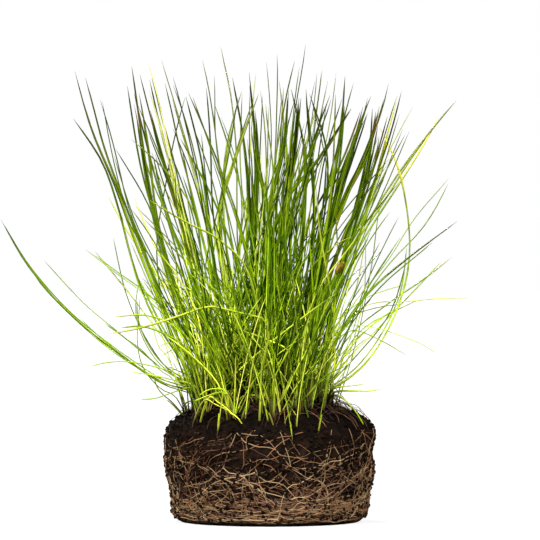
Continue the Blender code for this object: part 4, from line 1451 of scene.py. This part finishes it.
@dataclass
class Foliage:
    """Every tuft's strands, sheaths and young leaves."""

    seed: int = 41
    steps: int = 22
    sides: int = 5
    wave: float = 3.4 * MM
    wave_size: float = 34 * MM
    tone_spread: float = 0.48
    root_depth: float = 2.4 * MM
    sheath_length: Range = (5 * MM, 10 * MM)
    sheath_stoutness: float = 1.4
    front: Range = (-14 * MM, -9 * MM)
    light_yellows: float = 0.40
    coolest: float = 1.05
    cool_spread: float = 0.15
    sheath_youth: int = 4
    filling_range: Range = (0.22, 1.48)
    tuft_range: Range = (0.55, 1.28)
    marked_range: Range = (1.0, 1.15)
    marked_unevenness: float = 0.3

    traced_sheath: float = 5 * MM
    traced_foot_spread: float = 1.2
    traced_tip_spread: Range = (1.5, 0.3)
    traced_shortest: float = 0.85
    traced_unevenness: float = 0.7
    traced_youth: int = 2

    crossings_traced: int = 22
    crossings_filling: int = 8
    crossing_inward: float = 16.0
    crossing_lean: float = 23.0
    crossing_length: Range = (30 * MM, 76 * MM)
    crossing_bend: float = 0.08
    crossing_start: float = 1.0 * MM
    crossing_radius: Range = (0.12 * MM, 0.17 * MM)
    crossing_sheath: float = 3.6 * MM
    crossing_margin: float = 3.6 * MM
    crossing_parts: int = 6
    crossing_range: Range = (0.35, 1.20)
    crown_radius: float = 17 * MM
    crown_height: float = 26 * MM
    point_step: float = 1.5 * MM

    young_per_tuft: tuple[int, int] = (8, 13)
    young_length: Range = (12 * MM, 44 * MM)
    young_lean: Range = (4.0, 46.0)
    young_turn: float = 1.3
    young_start: Range = (0.3 * MM, 1.1 * MM)
    young_droop: Range = (0.1, 0.55)
    young_droop_way: Range = (0.35, 0.5)
    young_shares: tuple[float, ...] = (0.0, 0.2, 0.45, 0.7, 1.0)
    young_radius: float = 0.12 * MM
    young_sheath: float = 3 * MM
    young_sheath_stoutness: float = 1.5
    young_reach: float = 17.0 * MM
    young_flare: float = 0.45
    young_range: Range = (0.35, 1.30)
    rim_leaves: int = 9
    rim_spread: float = 4.0 * MM
    rim_width: float = 7.0 * MM
    rim_margin: float = 2.0 * MM

    def __post_init__(self) -> None:
        """Starts the random numbers and the count of crossing strands."""
        self.chance = random.Random(self.seed)
        self.crossings = 0

    def tint_of(self, node: str, guide: Guide) -> Tint:
        """The colours of one culm.

        Args:
            node: The tuft's node.
            guide: The culm's guide.

        Returns:
            The tint.
        """
        shown = VIEW.pixel_of(guide.points[-1])
        for place, marked in MARKED_TIPS.values():
            if (shown - Vector(place)).length < MARK_REACH:
                return self.vary(replace(TINTS[marked], unevenness=self.marked_unevenness), self.marked_range)
        if is_filling(node):
            look = self.chance.choices(list(FILLING_LOOKS), list(FILLING_LOOKS.values()))[0]
            return self.vary(TINTS[look], self.filling_range)
        return self.vary(TINTS[TUFT_LOOKS.get(node, Look.GREEN)], self.tuft_range)

    def vary(self, tint: Tint, tones: Range) -> Tint:
        """A tint with its own tone, hue and age of sheath.

        Args:
            tint: The tint.
            tones: The range that its tone is multiplied by.

        Returns:
            The varied tint.
        """
        chance = self.chance
        light = chance.random()
        tone = tint.tone * (tones[0] + (tones[1] - tones[0]) * light)
        yellowing = min(1.0, tint.yellowing + self.light_yellows * tint.unevenness * light * chance.random())
        cool = min(1.0, max(0.0, self.coolest - light + chance.gauss(0, self.cool_spread)))
        age = chance.random() ** self.sheath_youth
        return replace(tint, tone=tone, yellowing=yellowing, sheath_age=age, cool=cool)

    def line(self, points: list[Vector], habit: Habit, tint: Tint, sheath: float) -> Line:
        """A line with all the values that the strands' tree and the finishes read.

        Args:
            points: The line's points, foot first, the foot sunk in the soil.
            habit: How it splits into strands.
            tint: Its colours.
            sheath: How far its sheath comes out of the soil.

        Returns:
            The line.
        """
        values = {item.name: float(getattr(habit, item.name)) for item in fields(habit)}
        values |= {item.name: float(getattr(tint, item.name)) for item in fields(tint)}
        values["sheath"] = sheath + self.root_depth
        # Painted light and shade at the foot: behind the front of the crown a line takes its column's painted
        # foot light and painted foot shade, in front it takes half of that light and no shade.
        columns, lights = zip(*PAINTED_FOOT_LIGHT)
        light = float(np.interp(VIEW.pixel_of(points[0]).x, columns, lights))
        behind = float(np.interp(points[0].y, self.front, WHOLE))
        values["painted_foot_light"] = light * behind + (1.0 + light) / 2 * (1.0 - behind)
        values["foot_shade"] = behind
        return Line(points, values)

    def culm_line(self, node: str, guide: Guide) -> Line:
        """The line of one culm, with its foot sunk in the soil.

        Args:
            node: The tuft's node.
            guide: The culm's guide.

        Returns:
            The line.
        """
        foot = guide.points[0] - UP * self.root_depth
        sheath = self.chance.uniform(*self.sheath_length)
        return self.line([foot, *guide.points], guide.habit(node), self.tint_of(node, guide), sheath)

    def crossing_line(self, guide: Guide, filled: KDTree) -> Line | None:
        """The line of a fine strand that starts beside a culm and leans across its neighbours.

        Args:
            guide: The culm's guide.
            filled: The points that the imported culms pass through.

        Returns:
            The line, or None where it would leave the clump.
        """
        chance = self.chance
        inward = self.crossing_inward * guide.points[0].x / self.crown_radius
        across = math.radians(chance.gauss(-inward, self.crossing_lean))
        back = math.radians(chance.gauss(0, self.crossing_lean))
        aim = Vector((math.tan(across), math.tan(back), 1.0)).normalized()
        length = chance.uniform(*self.crossing_length)
        bend = Vector((chance.gauss(0, 1), chance.gauss(0, 1), -abs(across))) * self.crossing_bend * length
        start = guide.points[0] + Vector((chance.gauss(0, 1), chance.gauss(0, 1), 0)) * self.crossing_start
        if start.y < self.front[1]:
            return None
        shares = [part / self.crossing_parts for part in range(self.crossing_parts + 1)]
        points = [start + aim * length * share + bend * share * share for share in shares]
        free = points[2:]
        if any(filled.find(point)[2] > self.crossing_margin or self.in_opening(point) for point in free):
            return None
        radius = chance.uniform(*self.crossing_radius)
        habit = Habit(1, radius, 0.0, 0.0, 1.0, self.sheath_stoutness * radius)
        tint = self.vary(TINTS[chance.choice(CROSSING_LOOKS)], self.crossing_range)
        return self.line([start - UP * self.root_depth, *points], habit, tint, self.crossing_sheath)

    @staticmethod
    def in_opening(point: Vector) -> bool:
        """Whether the picture shows a point in one of the clump's openings."""
        column, row = VIEW.pixel_of(point)
        return any(left < column < right and top < row < bottom for left, top, right, bottom in OPENINGS)

    def traced_line(self, strand: TracedStrand, ground: BVHTree) -> Line:
        """The line of one traced strand.

        Args:
            strand: The strand.
            ground: The soil's surface.

        Returns:
            The line.
        """
        last = len(strand.pixels) - 1
        points = []
        for index, (column, row) in enumerate(strand.pixels):
            depth = strand.foot_depth + (strand.tip_depth - strand.foot_depth) * index / last
            points.append(VIEW.at(column, row, depth * MM))
        foot = beneath(ground, points[0]) or points[0]
        points[0] = foot - UP * self.root_depth
        radius = strand.width * MM / 2
        least, each = self.traced_tip_spread
        habit = Habit(
            strands=strand.strands,
            radius=radius,
            foot_spread=self.traced_foot_spread * radius,
            tip_spread=(least + each * strand.strands) * radius,
            shortest=self.traced_shortest,
            sheath_radius=self.sheath_stoutness * radius,
        )
        age = self.chance.random() ** self.traced_youth
        tint = replace(TINTS[strand.look], sheath_age=age, unevenness=self.traced_unevenness)
        return self.line(points, habit, tint, self.traced_sheath)

    def young_line(self, foot: Vector, outward: Vector) -> Line | None:
        """The line of one short young leaf.

        Args:
            foot: The spot that it grows from.
            outward: The level way from the middle of the crown to the tuft.

        Returns:
            The line, or None where it would lie outside the clump's foot.
        """
        chance = self.chance
        turn = math.atan2(outward.y, outward.x) + chance.gauss(0, self.young_turn)
        way = Vector((math.cos(turn), math.sin(turn), 0))
        lean = math.radians(chance.uniform(*self.young_lean))
        length = chance.uniform(*self.young_length)
        aim = way * math.sin(lean) + UP * math.cos(lean)
        out, down = self.young_droop_way
        droop = (way * out - UP * down) * chance.uniform(*self.young_droop)
        start = foot + way * chance.uniform(*self.young_start) - UP * self.root_depth
        points = [start + (aim * share + droop * share * share) * length for share in self.young_shares]
        tip = points[-1]
        reach = max(self.young_reach, self.from_middle(foot) + self.rim_margin)
        reach += self.young_flare * max(0.0, tip.z - self.crown_height)
        if self.from_middle(tip) > reach or self.in_opening(tip):
            return None
        habit = Habit(1, self.young_radius, 0.0, 0.0, 1.0, self.young_sheath_stoutness * self.young_radius)
        tint = self.vary(TINTS[chance.choice(YOUNG_LOOKS)], self.young_range)
        return self.line(points, habit, tint, self.young_sheath)

    @staticmethod
    def from_middle(point: Vector) -> float:
        """How far a point is, on the level, from the middle of the crown."""
        return Vector((point.x - CROWN_MIDDLE[0], point.y - CROWN_MIDDLE[1])).length

    def rim_foot(self, foot: Vector, ground: BVHTree) -> Vector:
        """A spot on the soil between a front tuft and the rim, where a short leaf grows."""
        beside = Vector((self.chance.gauss(0, self.rim_spread), -self.chance.uniform(0, self.rim_width), 0))
        return beneath(ground, foot + beside) or foot

    def filled_points(self, guides: list[Guide]) -> KDTree:
        """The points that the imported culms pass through, closely spaced.

        Args:
            guides: The guides of all tufts.

        Returns:
            A tree that finds the nearest of them.
        """
        points = []
        for guide in guides:
            for low, high in zip(guide.points, guide.points[1:]):
                count = max(1, round((high - low).length / self.point_step))
                points += [low.lerp(high, index / count) for index in range(count)]
            points.append(guide.points[-1])
        tree = KDTree(len(points))
        for index, point in enumerate(points):
            tree.insert(point, index)
        tree.balance()
        return tree

    def tuft_lines(self, node: str, guides: list[Guide], filled: KDTree, ground: BVHTree) -> list[Line]:
        """The lines of one tuft: culms, crossing strands, traced strands and young leaves.

        Args:
            node: The tuft's node.
            guides: The guides of its culms.
            filled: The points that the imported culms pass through.
            ground: The soil's surface.

        Returns:
            The lines.
        """
        lines = [self.culm_line(node, guide) for guide in guides]
        trials = self.crossings_filling if is_filling(node) else self.crossings_traced
        crossings = [self.crossing_line(self.chance.choice(guides), filled) for _ in range(trials)]
        crossings = [line for line in crossings if line]
        self.crossings += len(crossings)
        lines += crossings
        traced = [strand for strand in TRACED_STRANDS.values() if strand.tuft == node]
        lines += [self.traced_line(strand, ground) for strand in traced]
        foot = sum((guide.points[0] for guide in guides), Vector()) / len(guides)
        starts = [foot] * self.chance.randint(*self.young_per_tuft)
        if foot.y < self.front[1]:
            starts += [self.rim_foot(foot, ground) for _ in range(self.rim_leaves)]
        young = [self.young_line(start, foot) for start in starts]
        return lines + [line for line in young if line]

    def build(self, tree: StrandTree, ground: BVHTree, leaf: Material, sheath: Material) -> int:
        """Builds every tuft's piece.

        Args:
            tree: The strands' tree.
            ground: The soil's surface.
            leaf: The leaf's finish.
            sheath: The sheath's finish.

        Returns:
            How many triangles the pieces have.
        """
        total = 0
        nodes = [node for node in sorted(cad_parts) if node.startswith("tuft_")]
        tufts = {node: GuideReader().read(node) for node in nodes}
        filled = self.filled_points([guide for guides in tufts.values() for guide in guides])
        for number, (node, guides) in enumerate(tufts.items()):
            values = {
                "Steps": self.steps,
                "Sides": self.sides,
                "Wave": self.wave,
                "Wave Size": self.wave_size,
                "Tone Spread": self.tone_spread,
                "Seed": self.seed + 100 * number,
                "Finish": leaf,
                "Sheath Finish": sheath,
            }
            name = node.replace("tuft", "leaves")
            mesh = lines_mesh(name + "_lines", self.tuft_lines(node, guides, filled, ground))
            piece = grow(name, mesh, tree.tree, values)
            lay_strips(piece.data)
            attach(piece, BODY)
            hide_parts(node)
            count = sum(len(polygon.vertices) - 2 for polygon in piece.data.polygons)
            total += count
            log.info("%s: %d culms, %d triangles", name, len(guides), count)
        log.info("crossing strands: %d", self.crossings)
        return total


@dataclass(frozen=True)
class Spikelet:
    """The brown flower spike at the tip of one culm: overlapping scales round a short axis."""

    length: float = 3.4 * MM
    width: float = 1.4 * MM
    lean: float = 36.0
    rows: int = 9
    scales_per_row: int = 5
    points_per_scale: int = 4
    scale_lift: float = 0.16 * MM
    sunk: float = 0.08
    narrow_foot: float = 0.06
    swelling: float = 0.90
    fullness: float = 0.75

    def outline(self, share: float) -> float:
        """The spike's radius at a share of its length."""
        swell = math.sin(math.pi * (self.narrow_foot + self.swelling * share))
        return 0.5 * self.width * swell**self.fullness

    def place(self, share: float, turn: float) -> Vector:
        """A point of the spike's surface, from the middle of its foot.

        Args:
            share: How far along the spike it is, from 0 to 1.
            turn: How far round the spike it is, in radians.

        Returns:
            The point.
        """
        twist = self.scales_per_row * turn + math.pi * self.rows * share
        step = (self.rows * share + 0.5 * math.cos(twist)) % 1.0
        outline = self.outline(share)
        radius = outline + self.scale_lift * step * outline / self.width
        place = Vector((radius * math.cos(turn), radius * math.sin(turn), (share - self.sunk) * self.length))
        place.rotate(Quaternion(Vector((0, 1, 0)), math.radians(self.lean)))
        return place

    def build(self, finish: Material) -> Object:
        """Builds the spike.

        Args:
            finish: Its finish.

        Returns:
            The piece.
        """
        strand = TRACED_STRANDS[FRUITING_CULM]
        column, row = strand.pixels[-1]
        base = VIEW.at(column, row, strand.tip_depth * MM)
        shape = bmesh.new()
        sides = self.points_per_scale * self.scales_per_row
        levels = self.points_per_scale * self.rows
        turns = [2 * math.pi * side / sides for side in range(sides)]
        rings = []
        for level in range(levels + 1):
            rings.append([shape.verts.new(base + self.place(level / levels, turn)) for turn in turns])
        for low, high in zip(rings, rings[1:]):
            for side in range(sides):
                after = (side + 1) % sides
                shape.faces.new((low[side], low[after], high[after], high[side]))
        shape.faces.new(list(reversed(rings[0])))
        shape.faces.new(rings[-1])
        piece = add_object("spikelet", to_mesh("spikelet", shape))
        dress(piece.data, finish)
        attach(piece, BODY)
        return piece


@dataclass
class RootBall:
    """The soil that the roots hold together, with its crumbs, roots and dry fibres."""

    seed: int = 5
    weld: float = 1e-6
    voxel: float = 0.50 * MM
    lump: float = 0.75 * MM
    lump_size: float = 4.5 * MM
    grit: float = 0.28 * MM
    grit_size: float = 1.1 * MM
    flat: float = 1.2 * MM
    flat_edge: float = 0.2

    crumb_density: float = 420000.0
    crumb_size: Range = (0.22 * MM, 0.62 * MM)
    lowest_crumb: float = 1.0 * MM

    root_count: int = 640
    root_steps: int = 26
    root_radius: Range = (0.035 * MM, 0.095 * MM)
    root_step: float = 1.5 * MM
    root_distance: float = 24 * MM
    root_height: Range = (3 * MM, 22 * MM)
    root_lowest: Range = (1.2 * MM, 7.0 * MM)
    root_points: tuple[int, int] = (8, 30)
    root_slope: Range = (0.05, 1.4)
    root_lift: Range = (0.2, 1.6)
    root_wander: float = 0.30
    low_wander: float = 0.25
    least_tilt: float = 0.1
    root_hue: Range = (0.50, 0.24)

    fibre_count: int = 480
    fibre_steps: int = 14
    fibre_radius: Range = (0.030 * MM, 0.085 * MM)
    fibre_step: float = 1.1 * MM
    fibre_reach: float = 19 * MM
    fibre_arch: Range = (0.0, 2.2 * MM)
    fibre_points: tuple[int, int] = (5, 11)
    fibre_wander: float = 0.20
    fibre_hue: Range = (0.13, 0.20)
    fibre_sides: int = 4
    fewest_points: int = 4

    def __post_init__(self) -> None:
        """Starts the random numbers, and leaves the surface to be made."""
        self.chance = random.Random(self.seed)
        self.surface: BVHTree | None = None

    def hull(self) -> Mesh:
        """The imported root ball's shape, with every hollow bridged.

        Returns:
            The mesh.
        """
        shape = bmesh.new()
        shape.from_mesh(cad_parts["root_ball"].data)
        bmesh.ops.remove_doubles(shape, verts=shape.verts, dist=self.weld)
        hull = bmesh.ops.convex_hull(shape, input=shape.verts)
        inside = hull["geom_interior"] + hull["geom_unused"]
        loose = [item for item in inside if isinstance(item, bmesh.types.BMVert)]
        bmesh.ops.delete(shape, geom=loose, context="VERTS")
        kept = {item for item in hull["geom"] if isinstance(item, bmesh.types.BMFace)}
        bmesh.ops.delete(shape, geom=[face for face in shape.faces if face not in kept], context="FACES")
        bmesh.ops.recalc_face_normals(shape, faces=shape.faces)
        return to_mesh("soil", shape)

    def soil(self, finish: Material) -> Object:
        """The soil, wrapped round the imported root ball.

        Args:
            finish: The soil's finish.

        Returns:
            The piece.
        """
        piece = add_object("root_ball_soil", self.hull())
        wrap = piece.modifiers.new("wrap", "REMESH")
        wrap.mode = "VOXEL"
        wrap.voxel_size = self.voxel
        make_plain(piece, wrap)
        self.roughen(piece.data)
        dress(piece.data, finish)
        shape = bmesh.new()
        shape.from_mesh(piece.data)
        self.surface = BVHTree.FromBMesh(shape)
        shape.free()
        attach(piece, BODY)
        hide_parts("root_ball")
        return piece

    def roughen(self, mesh: Mesh) -> None:
        """Gives the soil its lumps and grit, and keeps its underside flat.

        Args:
            mesh: The soil's mesh.
        """
        moved = []
        for vertex in mesh.vertices:
            place = vertex.co.copy()
            lumps = noise.noise(place / self.lump_size) * self.lump
            grit = noise.noise(place / self.grit_size) * self.grit
            fade = min(1.0, max(0.0, place.z / self.flat - self.flat_edge))
            moved.append(place + vertex.normal * (lumps + grit) * fade)
        for vertex, place in zip(mesh.vertices, moved):
            vertex.co = (place.x, place.y, max(0.0, place.z))

    def crumbs(self, soil: Object, finish: Material) -> Object:
        """Lumps of peat, strewn over the soil.

        Args:
            soil: The soil's piece.
            finish: The crumbs' finish.

        Returns:
            The piece.
        """
        values = {
            "Density": self.crumb_density,
            "Smallest": self.crumb_size[0],
            "Largest": self.crumb_size[1],
            "Lowest": self.lowest_crumb,
            "Seed": self.seed,
            "Finish": finish,
        }
        piece = grow("peat_crumbs", soil.data.copy(), CrumbTree().tree, values)
        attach(piece, BODY)
        return piece

    def on_surface(self, place: Vector, lift: float) -> tuple[Vector, Vector]:
        """The nearest point of the soil's surface, lifted off it.

        Args:
            place: The point to start from.
            lift: How far off the surface the result is.

        Returns:
            The point, and the surface's normal there.
        """
        near, normal, _, _ = self.surface.find_nearest(place)
        lifted = near + normal * lift
        lifted.z = max(lift, lifted.z)
        return lifted, normal

    def root_line(self) -> Line:
        """One root that wanders down the side of the soil, or round it near the bottom.

        Returns:
            The root's line.
        """
        chance = self.chance
        angle = chance.uniform(0, 2 * math.pi)
        height = chance.uniform(*self.root_height)
        radius = chance.uniform(*self.root_radius)
        place = Vector((self.root_distance * math.cos(angle), self.root_distance * math.sin(angle), height))
        slope = chance.choice((-1, 1)) * chance.uniform(*self.root_slope)
        side = chance.choice((-1, 1))
        points = []
        lowest = chance.uniform(*self.root_lowest)
        for _ in range(chance.randint(*self.root_points)):
            place, normal = self.on_surface(place, radius * chance.uniform(*self.root_lift))
            points.append(place.copy())
            level = UP.cross(normal)
            if level.length < self.least_tilt:
                break
            level.normalize()
            slope += chance.gauss(0, self.root_wander)
            if place.z < lowest:
                slope = chance.gauss(0, self.low_wander)
            fall = math.sin(slope) if place.z < lowest else abs(math.sin(slope))
            place = place + (level * side * math.cos(slope) - UP * fall) * self.root_step
        return self.fibre(points, radius, self.root_hue)

    def fibre_line(self) -> Line:
        """One dry fibre that lies across the crown.

        Returns:
            The fibre's line.
        """
        chance = self.chance
        angle = chance.uniform(0, 2 * math.pi)
        out = self.fibre_reach * math.sqrt(chance.random())
        place = Vector((out * math.cos(angle), out * math.sin(angle), 0))
        heading = chance.uniform(0, 2 * math.pi)
        radius = chance.uniform(*self.fibre_radius)
        arch = chance.uniform(*self.fibre_arch)
        count = chance.randint(*self.fibre_points)
        points = []
        for index in range(count):
            near = beneath(self.surface, place)
            if near is None:
                break
            lift = radius + arch * math.sin(math.pi * index / (count - 1))
            points.append(near + UP * lift)
            heading += chance.gauss(0, self.fibre_wander)
            place += Vector((math.cos(heading), math.sin(heading), 0)) * self.fibre_step
        return self.fibre(points, radius, self.fibre_hue)

    def fibre(self, points: list[Vector], radius: float, hues: Range) -> Line:
        """The line of one root or fibre, with a hue of its own.

        Args:
            points: The line's points.
            radius: Its radius.
            hues: The middle of the hues of its kind, and how far they spread.

        Returns:
            The line.
        """
        values = {
            "strands": 1.0,
            "radius": radius,
            "hue": min(1.0, max(0.0, self.chance.gauss(*hues))),
            "tone": 1.0,
            "foot_spread": 0.0,
            "tip_spread": 0.0,
            "shortest": 1.0,
        }
        return Line(points, values)

    def fibres(self, name: str, lines: list[Line], tree: StrandTree, finish: Material, steps: int) -> Object:
        """A piece of fibres along lines.

        Args:
            name: The piece's name.
            lines: The lines.
            tree: The fibres' tree.
            finish: Their finish.
            steps: How many points each fibre has.

        Returns:
            The piece.
        """
        values = {
            "Steps": steps,
            "Sides": self.fibre_sides,
            "Wave": 0.0,
            "Wave Size": 1.0,
            "Tone Spread": 0.0,
            "Seed": self.seed,
            "Finish": finish,
        }
        kept = [line for line in lines if len(line.points) >= self.fewest_points]
        piece = grow(name, lines_mesh(name + "_lines", kept), tree.tree, values)
        lay_strips(piece.data)
        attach(piece, BODY)
        return piece

    def build(self, soil: Material, crumb: Material, fibre: Material) -> None:
        """Builds the soil, the crumbs, the roots and the dry fibres.

        Args:
            soil: The soil's finish.
            crumb: The crumbs' finish.
            fibre: The finish of roots and fibres.
        """
        ground = self.soil(soil)
        log.info("soil: %d faces", len(ground.data.polygons))
        crumbs = self.crumbs(ground, crumb)
        log.info("crumbs: %d faces", len(crumbs.data.polygons))
        tree = StrandTree("fibres", with_sheaths=False)
        lines = [self.root_line() for _ in range(self.root_count)]
        roots = self.fibres("root_mat", lines, tree, fibre, self.root_steps)
        log.info("roots: %d faces", len(roots.data.polygons))
        lines = [self.fibre_line() for _ in range(self.fibre_count)]
        thatch = self.fibres("dry_fibres", lines, tree, fibre, self.fibre_steps)
        log.info("dry fibres: %d faces", len(thatch.data.polygons))


@dataclass
class Studio:
    """A plain pale floor, soft light and the camera."""

    floor_radius: float = 9.0
    floor_sides: int = 96
    sun_softness: float = 4.0
    left_strength: float = 6.0
    left_turn: Range = (46.0, -40.0)
    right_strength: float = 4.4
    right_turn: Range = (48.0, 44.0)
    rim_strength: float = 2.2
    rim_turn: Range = (-52.0, 24.0)
    sky_strength: float = 0.04
    sky_tint: Colour = (0.85, 1.0, 0.48)

    def camera(self) -> None:
        """Adds the camera, level and in front of the clump."""
        camera = bpy.data.cameras.new("camera")
        camera.sensor_width = VIEW.sensor
        camera.lens = VIEW.lens()
        camera.clip_end = 4 * self.floor_radius
        seen_from = add_object("camera", camera)
        seen_from.location = (0.0, -VIEW.distance, VIEW.height())
        seen_from.rotation_euler = (math.radians(90), 0.0, 0.0)
        bpy.context.scene.camera = seen_from

    def lamp(self, name: str, strength: float, turn: Range) -> None:
        """Adds one soft sun.

        Args:
            name: The lamp's name.
            strength: Its strength.
            turn: How far it leans from straight down, and which way, in degrees.
        """
        sun = bpy.data.lights.new(name, "SUN")
        sun.energy = strength
        sun.angle = math.radians(self.sun_softness)
        lean, way = turn
        add_object(name, sun).rotation_euler = (math.radians(lean), 0.0, math.radians(way))

    def sky(self) -> None:
        """Adds the sky: white behind the clump, and a faint tinted light on it."""
        world = bpy.data.worlds.new("studio")
        world.use_nodes = True
        bpy.context.scene.world = world
        write = TreeWriter(world.node_tree)
        background = world.node_tree.nodes["Background"]
        seen = write.add("ShaderNodeLightPath").outputs["Is Camera Ray"]
        world.node_tree.links.new(write.blend(seen, self.sky_tint, WHITE), background.inputs["Color"])
        strength = write.rescale(seen, WHOLE, (self.sky_strength, 1.0))
        world.node_tree.links.new(strength, background.inputs["Strength"])

    def floor(self) -> None:
        """Adds the floor."""
        shape = bmesh.new()
        bmesh.ops.create_circle(shape, cap_ends=True, segments=self.floor_sides, radius=self.floor_radius)
        floor = add_object("floor", to_mesh("floor", shape))
        floor.data.materials.append(FloorFinish().build())

    def build(self) -> None:
        """Builds the camera, the light and the floor."""
        self.camera()
        self.lamp("left", self.left_strength, self.left_turn)
        self.lamp("right", self.right_strength, self.right_turn)
        self.lamp("rim", self.rim_strength, self.rim_turn)
        self.sky()
        self.floor()
        bpy.context.scene.view_settings.view_transform = "Standard"
        bpy.context.scene.view_settings.look = "None"


def main() -> None:
    """Builds the studio, the root ball, the flower spike and the foliage, in that order."""
    Studio().build()
    effects = Effects()
    leaf = LeafFinish().build(effects)
    sheath = SheathFinish().build(effects)
    fibre = FibreFinish().build(effects)
    ball = RootBall()
    ball.build(SOIL.build(effects), CRUMB.build(effects), fibre)
    Spikelet().build(SCALES.build(effects))
    total = Foliage().build(StrandTree("strands", with_sheaths=True), ball.surface, leaf, sheath)
    log.info("foliage: %d triangles", total)


if __name__ == "__main__":
    main()
